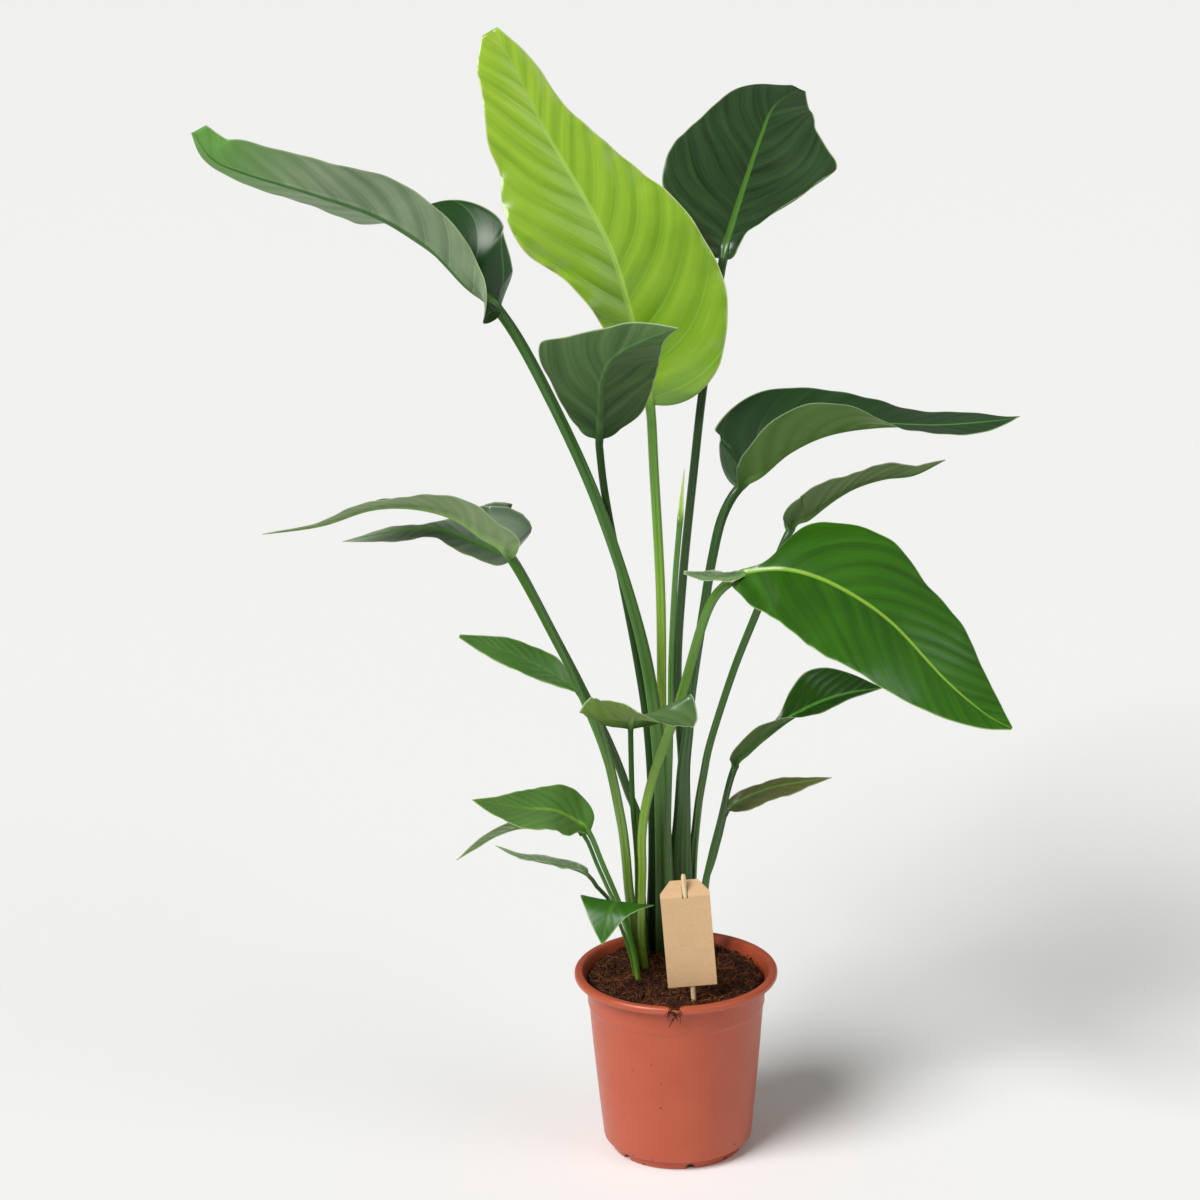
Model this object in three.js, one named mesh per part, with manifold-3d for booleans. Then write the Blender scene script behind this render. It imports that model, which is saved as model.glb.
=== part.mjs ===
// Potted bird of paradise: a 21 cm nursery pot filled with coir mix, a clump of seventeen
// long-stalked leaves and one rolled young leaf, and a blank card on a wooden stick.
// Millimetres. The pot's axis is Z, the floor is z = 0 and the photo is taken from -Y.
import * as THREE from 'three';
import { mergeVertices } from 'three/addons/utils/BufferGeometryUtils.js';
import Module from 'manifold-3d';

const wasm = await Module();
wasm.setup();

// Pot: corners of its wall as [radius, height], from the axis round the outside to the inside.
const ROD_SEGMENTS = 12;
const POT_SEGMENTS = 48;
const UNDER_FLOOR = 9.5;
const FLOOR_TOP = 11.5;
const FOOT_OUTER = 69;
const FOOT_INNER = 65;
const HUB_RADIUS = 14;
const POT_PROFILE = [
  [0, 0],
  [HUB_RADIUS, 0],
  [HUB_RADIUS + 1, UNDER_FLOOR],
  [FOOT_INNER - 1, UNDER_FLOOR],
  [FOOT_INNER, 0],
  [FOOT_OUTER, 0],
  [FOOT_OUTER + 1.2, UNDER_FLOOR],
  [75.6, 10],
  [77.2, 12],
  [80.7, 46],
  [86.9, 114],
  [90.2, 157],
  [91.6, 160],
  [91.8, 168],
  [93.6, 186.5],
  [103.6, 187],
  [105, 189],
  [105, 192.5],
  [103.4, 194.6],
  [100.6, 195],
  [97.4, 194.6],
  [95.4, 192],
  [92, 185],
  [88.4, 157],
  [85.2, 114],
  [79, 46],
  [75.4, 13.5],
  [73.5, FLOOR_TOP],
  [0, FLOOR_TOP],
];
const FOOT_NOTCHES = 6;
const NOTCH_RADIUS = 5;
const NOTCH_FIRST_ANGLE = -81;
const DRAIN_HOLES = 8;
const DRAIN_RADIUS = 4.5;
const DRAIN_RING = 42;

// Soil: it follows the inside of the wall; its top is a ring of radii from wall to axis.
const CLEARANCE = 0.3;
const SOIL_EDGE_LEVEL = 181;
const SOIL_SEGMENTS = 40;
const SOIL_SIDE = [
  [73.4, FLOOR_TOP + CLEARANCE],
  [75.2, 13.8],
  [79, 47],
  [85.1, 114],
  [88.3, 157],
  [91.1, SOIL_EDGE_LEVEL],
];
const SOIL_RINGS = [76, 60, 44, 28, 12, 0];
const SOIL_MOUND = 10;
const SOIL_MOUND_CENTRE = [-20, 22];
const SOIL_MOUND_SPREAD = 48;
const SOIL_RIPPLE = 1.2;

// Leaves: what they share.
const BLADE_THICKNESS = 1.0;
const STRETCH_STEPS = 200;
const FOOT_LENGTH = 70;
const FOOT_TILT = 0.3;
const STALK_STATIONS = 7;
const STATION_GRADE = 1.6;
const ACROSS_GRADE = 0.6;
const SHEATH_SHARE = 0.6;
const RIB_ONSET = 0.04;
const RIB_OVER = 0.75;
const RIB_UNDER = 1.25;
const RIB_NARROWING = 0.85;
const RIB_SINK = 12;
const RIB_LEFT = 0.1;
const EDGE_LEFT = 0.3;
const BASE_ROUNDING = 0.1;
const LOBE_FADE = 8;
const WAVE_ONSET = 0.7;

// Stick and card.
const STICK_RADIUS = 2.5;
const STICK_BOTTOM = [21, -57.3, 120];
const STICK_TOP = [6.8, -66, 323.5];
const CARD_WIDTH = 50;
const CARD_THICKNESS = 0.8;
const CARD_BODY = 99;
const CARD_FLAP = 17;
const CARD_FLAP_ANGLE = 36;
const CARD_TOP_HALF = 14;
const CARD_CHAMFER_START = 4;
const CARD_FOLD_ALONG_STICK = 181;
const CARD_SLOT = [5.8, 11.5];
const CARD_SLOT_BELOW = 2;
const CARD_GAP = 0.25;

// Every leaf: a stalk that runs through the first list of points (x, y, z), out of the soil and
// up to the blade, then the blade's midrib through the second list. half_width, rise (the fold of
// each half from the midrib) and curl (its bend on the way to the margin), in degrees, are given
// for the left and the right half at even steps from the blade's base to its tip, as seen from
// the upper face with the tip upward. faces is the direction that the upper face looks in; lobe is
// how far each half reaches back past the stalk; wave is the height and the number of the
// margin's waves and where they start on each side; the halves of stalk and sheath are ovals.
const LEAVES = {
  // big leaf at the top left, its near half raised so that the pale underside shows
  leaf_top_left: {
    stalk: [[-9, 47, 140], [-10, 49, 295], [-14, 53, 420], [-31, 63, 536], [-73, 77, 676],
      [-126, 85, 799], [-166, 90, 870]],
    blade: [[-202, 87, 903], [-239, 81, 941], [-285, 73, 972], [-349, 63, 997], [-413, 54, 1019],
      [-442, 49, 1034], [-458, 44, 1060]],
    faces: [[0, -0.1, 1], [0, 0, 1]],
    half_width: [[38, 26, 36, 41, 45, 42, 38, 36, 16], [31, 59, 69, 56, 42, 38, 30, 20, 4]],
    rise: [[-70, 35, 58, 58, 58, 58, 58, 60, 60], [76, 75, 38, -12, -28, -30, -28, -28, -28]],
    curl: [[10, 5, 0, -5], [20, 0, 0]],
    lobe: [12, -16],
    wave: [3, 3, 0, 0.4],
    stalk_half: [6, 5],
    sheath_half: [12, 6],
    columns: 4,
    stations: 16,
    colour: 0x2f6a2c,
  },
  // the largest leaf, lime green and upright behind the others
  leaf_top_centre: {
    stalk: [[-11, 70, 140], [-9, 71, 287], [-10, 75, 413], [-9, 87, 566], [-14, 97, 701],
      [-17, 103, 768]],
    blade: [[-26, 109, 818], [-50, 121, 912], [-76, 131, 968], [-118, 147, 1042],
      [-147, 161, 1103], [-169, 171, 1140]],
    faces: [[0.1, -1, 0.3], [0.1, -1, 0.3]],
    half_width: [
      [12, 15, 18, 25, 33, 44, 56, 70, 80, 80, 74, 61, 58, 49, 41, 34, 12],
      [44, 80, 97, 86, 66, 46, 29, 21, 6],
    ],
    rise: [[25, 20, 15, 15], [20, 15, 10, 10]],
    curl: [[-10, -20, -20], [-10, -20, -25]],
    lobe: [35, 40],
    wave: [4, 3.5, 0.3, 0.8],
    stalk_half: [5, 4.5],
    sheath_half: [6, 5],
    columns: 4,
    stations: 18,
    colour: 0x8fbe2e,
  },
  // dark leaf leaning back at the top right, its tip folded over
  leaf_top_right: {
    stalk: [[2, 75, 140], [12, 77, 351], [7, 85, 480], [14, 97, 584], [27, 113, 696],
      [39, 129, 787], [60, 145, 909]],
    blade: [[69, 170, 936], [86, 220, 974], [106, 275, 1015], [122, 315, 1040], [151, 355, 1053]],
    faces: [[0, -0.5, 0.85], [0, -0.5, 0.85]],
    half_width: [[20, 52, 76, 82, 78, 68, 54, 36, 10], [10, 24, 82, 106, 87, 66, 50, 33, 8]],
    rise: [[20, 15, 10], [10, -8, -6, -5]],
    curl: [[-10, -10], [40, 65, 50, 10]],
    lobe: [20, 20],
    wave: [4, 2.5, 0.2, 0.6],
    stalk_half: [4.5, 4],
    sheath_half: [6, 5],
    columns: 4,
    stations: 14,
    colour: 0x1f4f1c,
  },
  // small leaf that leans forward, its underside to the viewer
  leaf_middle: {
    stalk: [[-24, 61.5, 140], [-19, 64, 289], [-23, 71, 414], [-36, 85, 513], [-62, 89, 662],
      [-69, 75, 728], [-69, 71, 742]],
    blade: [[-67, 57, 776], [-65, 37, 807], [-54, 15, 835], [-28, -7, 855], [9, -29, 873]],
    faces: [[0, 1, 0.5], [0.2, 1, 0.7]],
    half_width: [[14, 42, 50, 52, 53, 48, 32, 12, 0], [20, 36, 56, 74, 46, 28, 22, 12, 0]],
    rise: [[20, 20], [20, 20]],
    curl: [[0, 0], [10, 20]],
    lobe: [10, 10],
    wave: [3, 2, 0.1, 0.5],
    stalk_half: [4, 3.5],
    sheath_half: [11, 5],
    columns: 4,
    stations: 14,
    colour: 0x4a6b3c,
  },
  // long leaf folded along its midrib, reaching right
  leaf_right_upper: {
    stalk: [[10, 60.5, 140], [7, 59, 269], [10, 60, 343], [12, 60, 392], [17, 60, 433],
      [21, 62, 476], [36, 69, 570], [44, 75, 615], [54, 79, 656], [71, 83, 685]],
    blade: [[93, 85, 698], [123, 91, 721], [164, 99, 737], [217, 111, 741], [280, 125, 736],
      [343, 137, 737], [364, 141, 740]],
    faces: [[0, 0, 1]],
    half_width: [[46, 64, 70, 60, 46, 40, 36, 26, 0], [14, 42, 54, 50, 40, 34, 28, 18, 0]],
    rise: [[70, 40, 20, 9, 4], [60, 58, 50, 34, 6, -8, -14, -14]],
    curl: [[10, 0], [0, 0]],
    lobe: [24, 20],
    wave: [3, 2.5, 0, 0.5],
    stalk_half: [5, 4.5],
    sheath_half: [21, 5],
    columns: 4,
    stations: 14,
    colour: 0x2c5f24,
  },
  // narrow leaf behind, between the two right-hand ones
  leaf_right_narrow: {
    stalk: [[20, 72, 140], [20, 72, 263], [26, 71, 338], [33, 70, 382], [41, 71, 419],
      [65, 76, 493], [90, 83, 555], [123, 93, 635]],
    blade: [[143, 99, 648], [169, 111, 664], [194, 123, 674], [224, 135, 679], [256, 147, 679],
      [290, 159, 691]],
    faces: [[0, 0, 1]],
    half_width: [[8, 14, 16, 16, 15, 15, 13, 8, 0], [14, 34, 33, 26, 22, 21, 18, 13, 0]],
    rise: [[30, 20, 15], [62, 55, 45]],
    curl: [[0, 0], [0, 0]],
    lobe: [5, 5],
    wave: [2, 2.5, 0.2, 0.7],
    stalk_half: [4, 3.8],
    sheath_half: [5.5, 5],
    columns: 3,
    stations: 10,
    colour: 0x4d7a3c,
  },
  // broad bright leaf that arches forward and down to the right
  leaf_right_front: {
    stalk: [[-23, 8, 140], [-33, 10, 205], [-35, 11, 238], [-33, 14, 298], [-33, 16, 332],
      [-29, 18, 364], [-20, 20, 399], [-11, 20, 424], [8, 18, 480], [36, 13, 575], [59, 9, 607]],
    blade: [[86, 3, 619], [123, -9, 621], [166, -27, 608], [214, -51, 579], [265, -81, 528],
      [302, -101, 499], [327, -113, 487]],
    faces: [[0.1, -0.55, 0.85], [0.4, -0.6, 0.7]],
    half_width: [
      [0, 0, 10, 56, 72, 77, 78, 74, 66, 64, 62, 58, 51, 43, 33, 20, 2],
      [20, 52, 74, 82, 82, 70, 50, 30, 2],
    ],
    rise: [[15, 8], [10, 5]],
    curl: [[-15, -15], [-10, -15]],
    lobe: [0, 10],
    wave: [3, 3, 0.1, 0.5],
    stalk_half: [5, 4.5],
    sheath_half: [3.2, 4],
    columns: 4,
    stations: 16,
    colour: 0x2f7a1c,
  },
  // short-stalked leaf low on the right
  leaf_right_lower: {
    stalk: [[21, 37, 140], [29, 38, 249], [38, 41, 297], [49, 43, 341], [63, 47, 395]],
    blade: [[78, 49, 412], [97, 53, 428], [120, 61, 443], [152, 71, 457], [184, 83, 463],
      [221, 95, 464]],
    faces: [[0, -0.1, 1]],
    half_width: [[2, 2, 3, 6, 22, 34, 32, 18, 0], [8, 16, 19, 17, 17, 14, 9, 5, 0]],
    rise: [[70, 60, 50, 40, 30], [75, 65, 10, -25, -30]],
    curl: [[0, 0], [0, 0]],
    lobe: [0, 0],
    wave: [2, 2, 0.2, 0.6],
    stalk_half: [3.5, 3.2],
    sheath_half: [6, 4.5],
    columns: 3,
    stations: 10,
    colour: 0x3d6e35,
  },
  // smallest leaf on the right
  leaf_right_lowest: {
    stalk: [[28, 49, 140], [34, 55, 259], [42, 59, 290], [50, 63, 320], [57, 67, 343]],
    blade: [[77, 69, 355], [104, 71, 365], [135, 75, 369], [167, 79, 372]],
    faces: [[0, 0, 1]],
    half_width: [[4, 8, 10, 10, 10, 8, 6, 4, 0], [8, 15, 20, 20, 17, 14, 9, 5, 0]],
    rise: [[30, 20], [-15, -25]],
    curl: [[0, 0], [0, 0]],
    lobe: [0, 0],
    wave: [1.5, 2, 0, 0.5],
    stalk_half: [2.6, 2.4],
    sheath_half: [4, 3.5],
    columns: 3,
    stations: 8,
    colour: 0x567c45,
  },
  // narrow leaf arching left, seen nearly edge on
  leaf_left_long: {
    stalk: [[-31, 24, 140], [-38, 23, 200], [-43, 22, 238], [-47, 20, 274], [-54, 16, 352],
      [-76, 11, 457], [-119, 5, 558], [-160, -1, 641]],
    blade: [[-186, -3, 663], [-216, -7, 685], [-255, -11, 696], [-296, -17, 696],
      [-345, -25, 682], [-402, -35, 676]],
    faces: [[0, 0, 1]],
    half_width: [[20, 24, 33, 25, 20, 16, 11, 6, 0], [22, 28, 34, 33, 30, 26, 20, 10, 0]],
    rise: [[50, 38, 32, 30], [5, 0, -10]],
    curl: [[5, 0], [-10, -10]],
    lobe: [10, 5],
    wave: [2, 3, 0.2, 0.7],
    stalk_half: [5, 4.5],
    sheath_half: [5, 4.5],
    columns: 3,
    stations: 12,
    colour: 0x4f7d43,
  },
  // dark leaf close behind that one
  leaf_left_dark: {
    stalk: [[-27, 45, 140], [-34, 53, 261], [-36, 53, 336], [-46, 52, 370], [-57, 52, 404],
      [-73, 51, 444], [-117, 51, 539], [-159, 47, 626]],
    blade: [[-178, 45, 633], [-208, 41, 648], [-241, 37, 660], [-286, 29, 658], [-328, 21, 652]],
    faces: [[0, -0.1, 1]],
    half_width: [[12, 16, 14, 13, 12, 12, 11, 8, 0], [29, 47, 39, 17, 7, 6, 6, 5, 0]],
    rise: [[-30, -30, -25, -20], [72, 60, 30, 8, 0]],
    curl: [[0, 0], [0, 0]],
    lobe: [6, 8],
    wave: [3, 2.5, 0, 0.4],
    stalk_half: [4.5, 4],
    sheath_half: [4.5, 4],
    columns: 3,
    stations: 10,
    colour: 0x2a5528,
  },
  // narrow leaf at half height on the left
  leaf_left_narrow: {
    stalk: [[-34, 35, 140], [-48, 33, 258], [-55, 33, 352], [-71, 31, 421], [-86, 30, 465],
      [-96, 29, 489]],
    blade: [[-112, 29, 500], [-133, 31, 513], [-162, 34, 528], [-192, 38, 538], [-215, 41, 545]],
    faces: [[0, -0.3, 1]],
    half_width: [[4, 6, 10, 15, 17, 16, 12, 8, 2], [6, 10, 16, 18, 17, 15, 11, 7, 2]],
    rise: [[-15, -20], [25, 20]],
    curl: [[0, 0], [0, 0]],
    lobe: [4, 4],
    wave: [2, 2, 0.3, 0.8],
    stalk_half: [2.8, 2.6],
    sheath_half: [4, 3.5],
    columns: 3,
    stations: 8,
    colour: 0x47783c,
  },
  // small crinkled leaf that points away from the viewer
  leaf_centre_crinkled: {
    stalk: [[-25, 36, 140], [-37, 39, 222], [-38, 37, 300], [-42, 21, 372], [-43, -9, 461]],
    blade: [[-42, -35, 476], [-40, -63, 491], [-36, -89, 503]],
    faces: [[0, 0.3, 1]],
    half_width: [[46, 58, 64, 64, 61, 55, 44, 26, 0], [38, 47, 50, 50, 47, 42, 32, 18, 0]],
    rise: [[18, 18, 14, 4, -8, -17, -22, -24, -24], [-2, 2, 8, 16, 26, 38]],
    curl: [[8, 8], [20, 20, 10]],
    lobe: [4, 4],
    wave: [4, 2.2, 0.7, 0.1],
    stalk_half: [2.8, 2.6],
    sheath_half: [4, 3.5],
    columns: 3,
    stations: 8,
    colour: 0x4c6f3f,
  },
  // low leaf on the left, its upper face to the viewer
  leaf_left_low: {
    stalk: [[-34, 8, 140], [-42, 8, 199], [-50, 5, 241], [-60, 2, 274], [-74, -3, 313],
      [-87, -7, 349]],
    blade: [[-100, -9, 361], [-123, -17, 376], [-156, -27, 383], [-204, -41, 398]],
    faces: [[0, -0.4, 1]],
    half_width: [[6, 14, 30, 33, 34, 30, 24, 16, 0], [8, 30, 34, 29, 25, 19, 12, 6, 0]],
    rise: [[10, 5], [15, 10]],
    curl: [[-10, -10], [0, 0]],
    lobe: [8, 8],
    wave: [2, 2.5, 0.1, 0.6],
    stalk_half: [2.8, 2.5],
    sheath_half: [4, 3.5],
    columns: 3,
    stations: 10,
    colour: 0x3d8224,
  },
  // thin leaf behind that one
  leaf_left_thin: {
    stalk: [[-38, 17, 140], [-44, 17, 201], [-52, 14, 238], [-65, 14, 269], [-79, 21, 301],
      [-93, 29, 333]],
    blade: [[-112, 33, 341], [-143, 39, 342], [-185, 47, 326], [-226, 55, 297]],
    faces: [[0, -0.3, 1]],
    half_width: [[8, 10, 11, 11, 10, 9, 7, 4, 0], [8, 11, 12, 12, 10, 9, 7, 4, 0]],
    rise: [[20, 20], [20, 20]],
    curl: [[0, 0], [0, 0]],
    lobe: [2, 2],
    wave: [1.5, 2, 0.1, 0.5],
    stalk_half: [2.2, 2],
    sheath_half: [3.5, 3],
    columns: 3,
    stations: 8,
    colour: 0x4c7a3c,
  },
  // thin curled leaf below it
  leaf_left_curled: {
    stalk: [[-36, 0, 140], [-44, -1, 199], [-55, -5, 240], [-68, -11, 276], [-79, -17, 292],
      [-89, -21, 308]],
    blade: [[-107, -25, 318], [-137, -33, 328], [-162, -39, 337], [-181, -45, 350]],
    faces: [[0, -0.3, 1]],
    half_width: [[3, 4, 5, 5, 5, 4, 3, 2, 0], [3, 4, 5, 5, 5, 4, 3, 2, 0]],
    rise: [[20, 20], [40, 40]],
    curl: [[0, 0], [30, 30]],
    lobe: [2, 2],
    wave: [2, 2.5, 0, 0.5],
    stalk_half: [2, 1.8],
    sheath_half: [3.5, 3],
    columns: 3,
    stations: 8,
    colour: 0x5a8548,
  },
  // small leaf that nods over the rim toward the viewer
  leaf_front_nodding: {
    stalk: [[-36, -9, 140], [-41, -11, 203], [-47, -15, 236], [-52, -17, 260]],
    blade: [[-56, -23, 274], [-61, -37, 284], [-68, -55, 279], [-76, -71, 251]],
    faces: [[0.1, 1, 0.2], [0.09, 0.3, 1], [0, -0.7, 0.7], [0, -1, 0.3]],
    half_width: [[12, 24, 35, 31, 24, 17, 11, 6, 0], [12, 22, 33, 36, 33, 25, 17, 9, 0]],
    rise: [[0], [0]],
    curl: [[0], [0]],
    lobe: [0, 0],
    wave: [2, 1.5, 0.2, 0.7],
    stalk_half: [2.8, 2.6],
    sheath_half: [4, 3.5],
    columns: 3,
    stations: 9,
    colour: 0x3f7f28,
  },
  // youngest leaf, still rolled into a spear
  spear: {
    stalk: [[-1, 34, 140], [-6, 39, 299], [-2, 41, 430], [0, 45, 514], [5, 51, 597], [11, 57, 659]],
    blade: [[13, 60, 684], [16, 63, 710]],
    faces: [[0, -1, 0.3]],
    half_width: [[0.1], [0.1]],
    rise: [[0], [0]],
    curl: [[0], [0]],
    lobe: [0, 0],
    wave: [0, 1, 0, 0],
    stalk_half: [3, 3],
    sheath_half: [5, 4],
    columns: 3,
    stations: 4,
    colour: 0x7db03c,
  },
};

// A tongue of the front right leaf, curled back over the end of its stalk: one body with it.
const BASE_TONGUE = {
  stalk: [[81, 4, 617], [74, 3, 616]],
  blade: [[67, 2, 614], [51, -1, 613], [34, -4, 615], [20, -6, 618], [12, -7, 621]],
  faces: [[0, -0.8, 0.6]],
  half_width: [[2, 4.5, 5.5, 5, 2], [2, 5, 6.5, 6, 2.5]],
  rise: [[20], [25]],
  curl: [[35, 50], [30, 45]],
  lobe: [0, 0],
  wave: [1.6, 2.2, 0.2, 0.6],
  stalk_half: [2.4, 2],
  sheath_half: [2.4, 2],
  columns: 3,
  stations: 8,
};

// Value of a uniform curve through numbers at even steps, at a share from 0 to 1.
function keyed(values, share) {
  const last = values.length - 1;
  if (last === 0) {
    return values[0];
  }
  const at = Math.min(share, 1) * last;
  const i = Math.min(Math.floor(at), last - 1);
  const f = at - i;
  const a = values[i];
  const b = values[i + 1];
  const before = i > 0 ? values[i - 1] : 2 * a - b;
  const after = i + 2 <= last ? values[i + 2] : 2 * b - a;
  return 0.5 * (2 * a + (b - before) * f + (2 * before - 5 * a + 4 * b - after) * f * f
    + (3 * a - before - 3 * b + after) * f * f * f);
}

// The same curve through points.
function keyedVector(list, share) {
  const [x, y, z] = [0, 1, 2].map((k) => keyed(list.map((point) => point[k]), share));
  return new THREE.Vector3(x, y, z);
}

// The stretch of a curve between two of its shares: its length, and the share at a way along it.
function stretch(list, from, to) {
  const shares = [...Array(STRETCH_STEPS + 1).keys()]
    .map((i) => THREE.MathUtils.lerp(from, to, i / STRETCH_STEPS));
  const points = shares.map((share) => keyedVector(list, share));
  const lengths = [0];
  for (let i = 1; i <= STRETCH_STEPS; i += 1) {
    lengths.push(lengths[i - 1] + points[i].distanceTo(points[i - 1]));
  }
  const length = lengths[STRETCH_STEPS];
  const shareAt = (way) => {
    const target = way * length;
    const found = lengths.findIndex((value) => value >= target - 1e-9);
    const i = found < 0 ? STRETCH_STEPS : Math.max(found, 1);
    const part = (target - lengths[i - 1]) / (lengths[i] - lengths[i - 1]);
    return THREE.MathUtils.lerp(shares[i - 1], shares[i], part);
  };
  return { length, shareAt };
}

// Frame of a station: the point, the way along the leaf, the way that its upper face looks and
// the way to its right half.
function frameAt(curve, share, facing) {
  const step = 1e-4;
  const ahead = keyedVector(curve, Math.min(share + step, 1));
  const behind = keyedVector(curve, Math.max(share - step, 0));
  const along = ahead.sub(behind).normalize();
  const up = facing.clone().addScaledVector(along, -facing.dot(along)).normalize();
  const side = new THREE.Vector3().crossVectors(along, up);
  return { point: keyedVector(curve, share), along, up, side };
}

// Two rows of points, over and under, across a station. half(sign, q) gives the place of the
// share q of the half-width on one side: out, lift, back, angle, and the rib's height there.
function rowsAcross(frame, columns, grade, half) {
  const over = [];
  const under = [];
  for (let j = -columns; j <= columns; j += 1) {
    const sign = j < 0 ? -1 : 1;
    const at = half(sign, Math.abs(j / columns) ** grade);
    const middle = frame.point.clone().addScaledVector(frame.side, sign * at.out)
      .addScaledVector(frame.up, at.lift).addScaledVector(frame.along, -at.back);
    const normal = frame.side.clone().multiplyScalar(-sign * Math.sin(at.angle))
      .addScaledVector(frame.up, Math.cos(at.angle));
    const skin = BLADE_THICKNESS / 2;
    over.push(middle.clone().addScaledVector(normal, skin + at.above));
    under.push(middle.clone().addScaledVector(normal, -skin - at.below));
  }
  return { over, under };
}

// Stalk station: an oval, wider toward the sheath at its foot; grow widens it all round. The foot
// looks to the front, or to the back where the blade does.
function stalkRows(leaf, curve, share, way, grow) {
  const top = keyedVector(leaf.faces, 0);
  const facing = new THREE.Vector3(0, top.y > 0 ? 1 : -1, FOOT_TILT).lerp(top, way);
  const sheath = Math.max(1 - way / SHEATH_SHARE, 0) ** 1.5;
  const wide = THREE.MathUtils.lerp(leaf.stalk_half[0], leaf.sheath_half[0], sheath) + grow;
  const deep = THREE.MathUtils.lerp(leaf.stalk_half[1], leaf.sheath_half[1], sheath);
  return rowsAcross(frameAt(curve, share, facing), leaf.columns, 1, (sign, q) => {
    const bulge = Math.sqrt(1 - q * q);
    return {
      out: wide * q,
      lift: 0,
      back: 0,
      angle: 0,
      above: deep * RIB_OVER * bulge + grow,
      below: deep * RIB_UNDER * bulge + grow,
    };
  });
}

// Blade station: each half leaves the midrib at its rise and bends by its curl on the way out;
// near the base it also reaches back past the stalk as a lobe.
function bladeRows(leaf, curve, share, way) {
  const opened = Math.min(way / RIB_ONSET, 1);
  const rounding = Math.sqrt(1 - (1 - Math.min(way / BASE_ROUNDING, 1)) ** 2);
  const left = 1 - way;
  const ribHalf = leaf.stalk_half[0] * (1 - RIB_NARROWING * way);
  const above = leaf.stalk_half[1] * RIB_OVER * Math.max(1 - way * RIB_SINK, 0);
  const below = leaf.stalk_half[1] * RIB_UNDER * left ** 0.8 + RIB_LEFT;
  const frame = frameAt(curve, share, keyedVector(leaf.faces, way));
  return rowsAcross(frame, leaf.columns, 1 + ACROSS_GRADE * opened, (sign, q) => {
    const half = sign < 0 ? 0 : 1;
    const wide = Math.max(keyed(leaf.half_width[half], way), 0) * rounding
      + leaf.stalk_half[0] * left + EDGE_LEFT;
    const rise = THREE.MathUtils.degToRad(keyed(leaf.rise[half], way)) * opened;
    const curl = THREE.MathUtils.degToRad(keyed(leaf.curl[half], way)) * opened + 1e-6;
    const angle = rise + curl * q;
    const [height, count, ...starts] = leaf.wave;
    const wave = height * Math.sin(Math.PI * way ** WAVE_ONSET) * q * q
      * Math.sin(2 * Math.PI * (count * way + starts[half]));
    const widest = Math.max(...leaf.half_width[half]);
    const bulge = Math.sqrt(1 - Math.min((q * wide) / ribHalf, 1) ** 2);
    return {
      out: (wide / curl) * (Math.sin(angle) - Math.sin(rise)) - wave * Math.sin(angle),
      lift: (wide / curl) * (Math.cos(rise) - Math.cos(angle)) + wave * Math.cos(angle),
      back: leaf.lobe[half] * Math.min((q * wide) / widest, 1) ** 1.2 * left ** LOBE_FADE,
      angle,
      above: above * bulge,
      below: below * bulge,
    };
  });
}

// Closed mesh through a list of stations, both faces split into triangles alike.
function loft(stations) {
  const across = stations[0].over.length;
  const positions = stations.flatMap(({ over, under }) => [...over, ...under])
    .flatMap((point) => point.toArray());
  const indices = [];
  const over = (i, j) => i * across * 2 + j;
  const under = (i, j) => over(i, j) + across;
  const quad = (a, b, c, d) => indices.push(a, b, c, a, c, d);
  const end = stations.length - 1;
  for (let i = 0; i < end; i += 1) {
    for (let j = 0; j < across - 1; j += 1) {
      quad(over(i, j), over(i, j + 1), over(i + 1, j + 1), over(i + 1, j));
      indices.push(under(i, j), under(i + 1, j + 1), under(i, j + 1));
      indices.push(under(i, j), under(i + 1, j), under(i + 1, j + 1));
    }
    quad(over(i, 0), over(i + 1, 0), under(i + 1, 0), under(i, 0));
    const j = across - 1;
    quad(over(i, j), under(i, j), under(i + 1, j), over(i + 1, j));
  }
  for (let j = 0; j < across - 1; j += 1) {
    quad(over(0, j), under(0, j), under(0, j + 1), over(0, j + 1));
    quad(over(end, j), over(end, j + 1), under(end, j + 1), under(end, j));
  }
  const geometry = new THREE.BufferGeometry();
  geometry.setAttribute('position', new THREE.Float32BufferAttribute(positions, 3));
  geometry.setIndex(indices);
  return geometry;
}

// The curve through stalk and midrib, with its stretches below and above the blade's base.
function curveOf(leaf) {
  const curve = [...leaf.stalk, ...leaf.blade];
  const joint = (leaf.stalk.length - 1) / (curve.length - 1);
  return { curve, lower: stretch(curve, 0, joint), upper: stretch(curve, joint, 1) };
}

// Stations of a blade, closer together toward its base.
function bladeStations(leaf, curve, upper) {
  return [...Array(leaf.stations).keys()]
    .map((i) => (i / (leaf.stations - 1)) ** STATION_GRADE)
    .map((way) => bladeRows(leaf, curve, upper.shareAt(way), way));
}

// A whole leaf, from the foot of its stalk to the tip of its blade.
function leafGeometry(leaf) {
  const { curve, lower, upper } = curveOf(leaf);
  const foot = FOOT_LENGTH / lower.length;
  const stalkWays = [...Array(STALK_STATIONS).keys()]
    .map((i) => THREE.MathUtils.lerp(foot, 1, i / STALK_STATIONS));
  const stalk = [0, ...stalkWays]
    .map((way) => stalkRows(leaf, curve, lower.shareAt(way), way, 0));
  return loft([...stalk, ...bladeStations(leaf, curve, upper)]);
}

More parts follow.
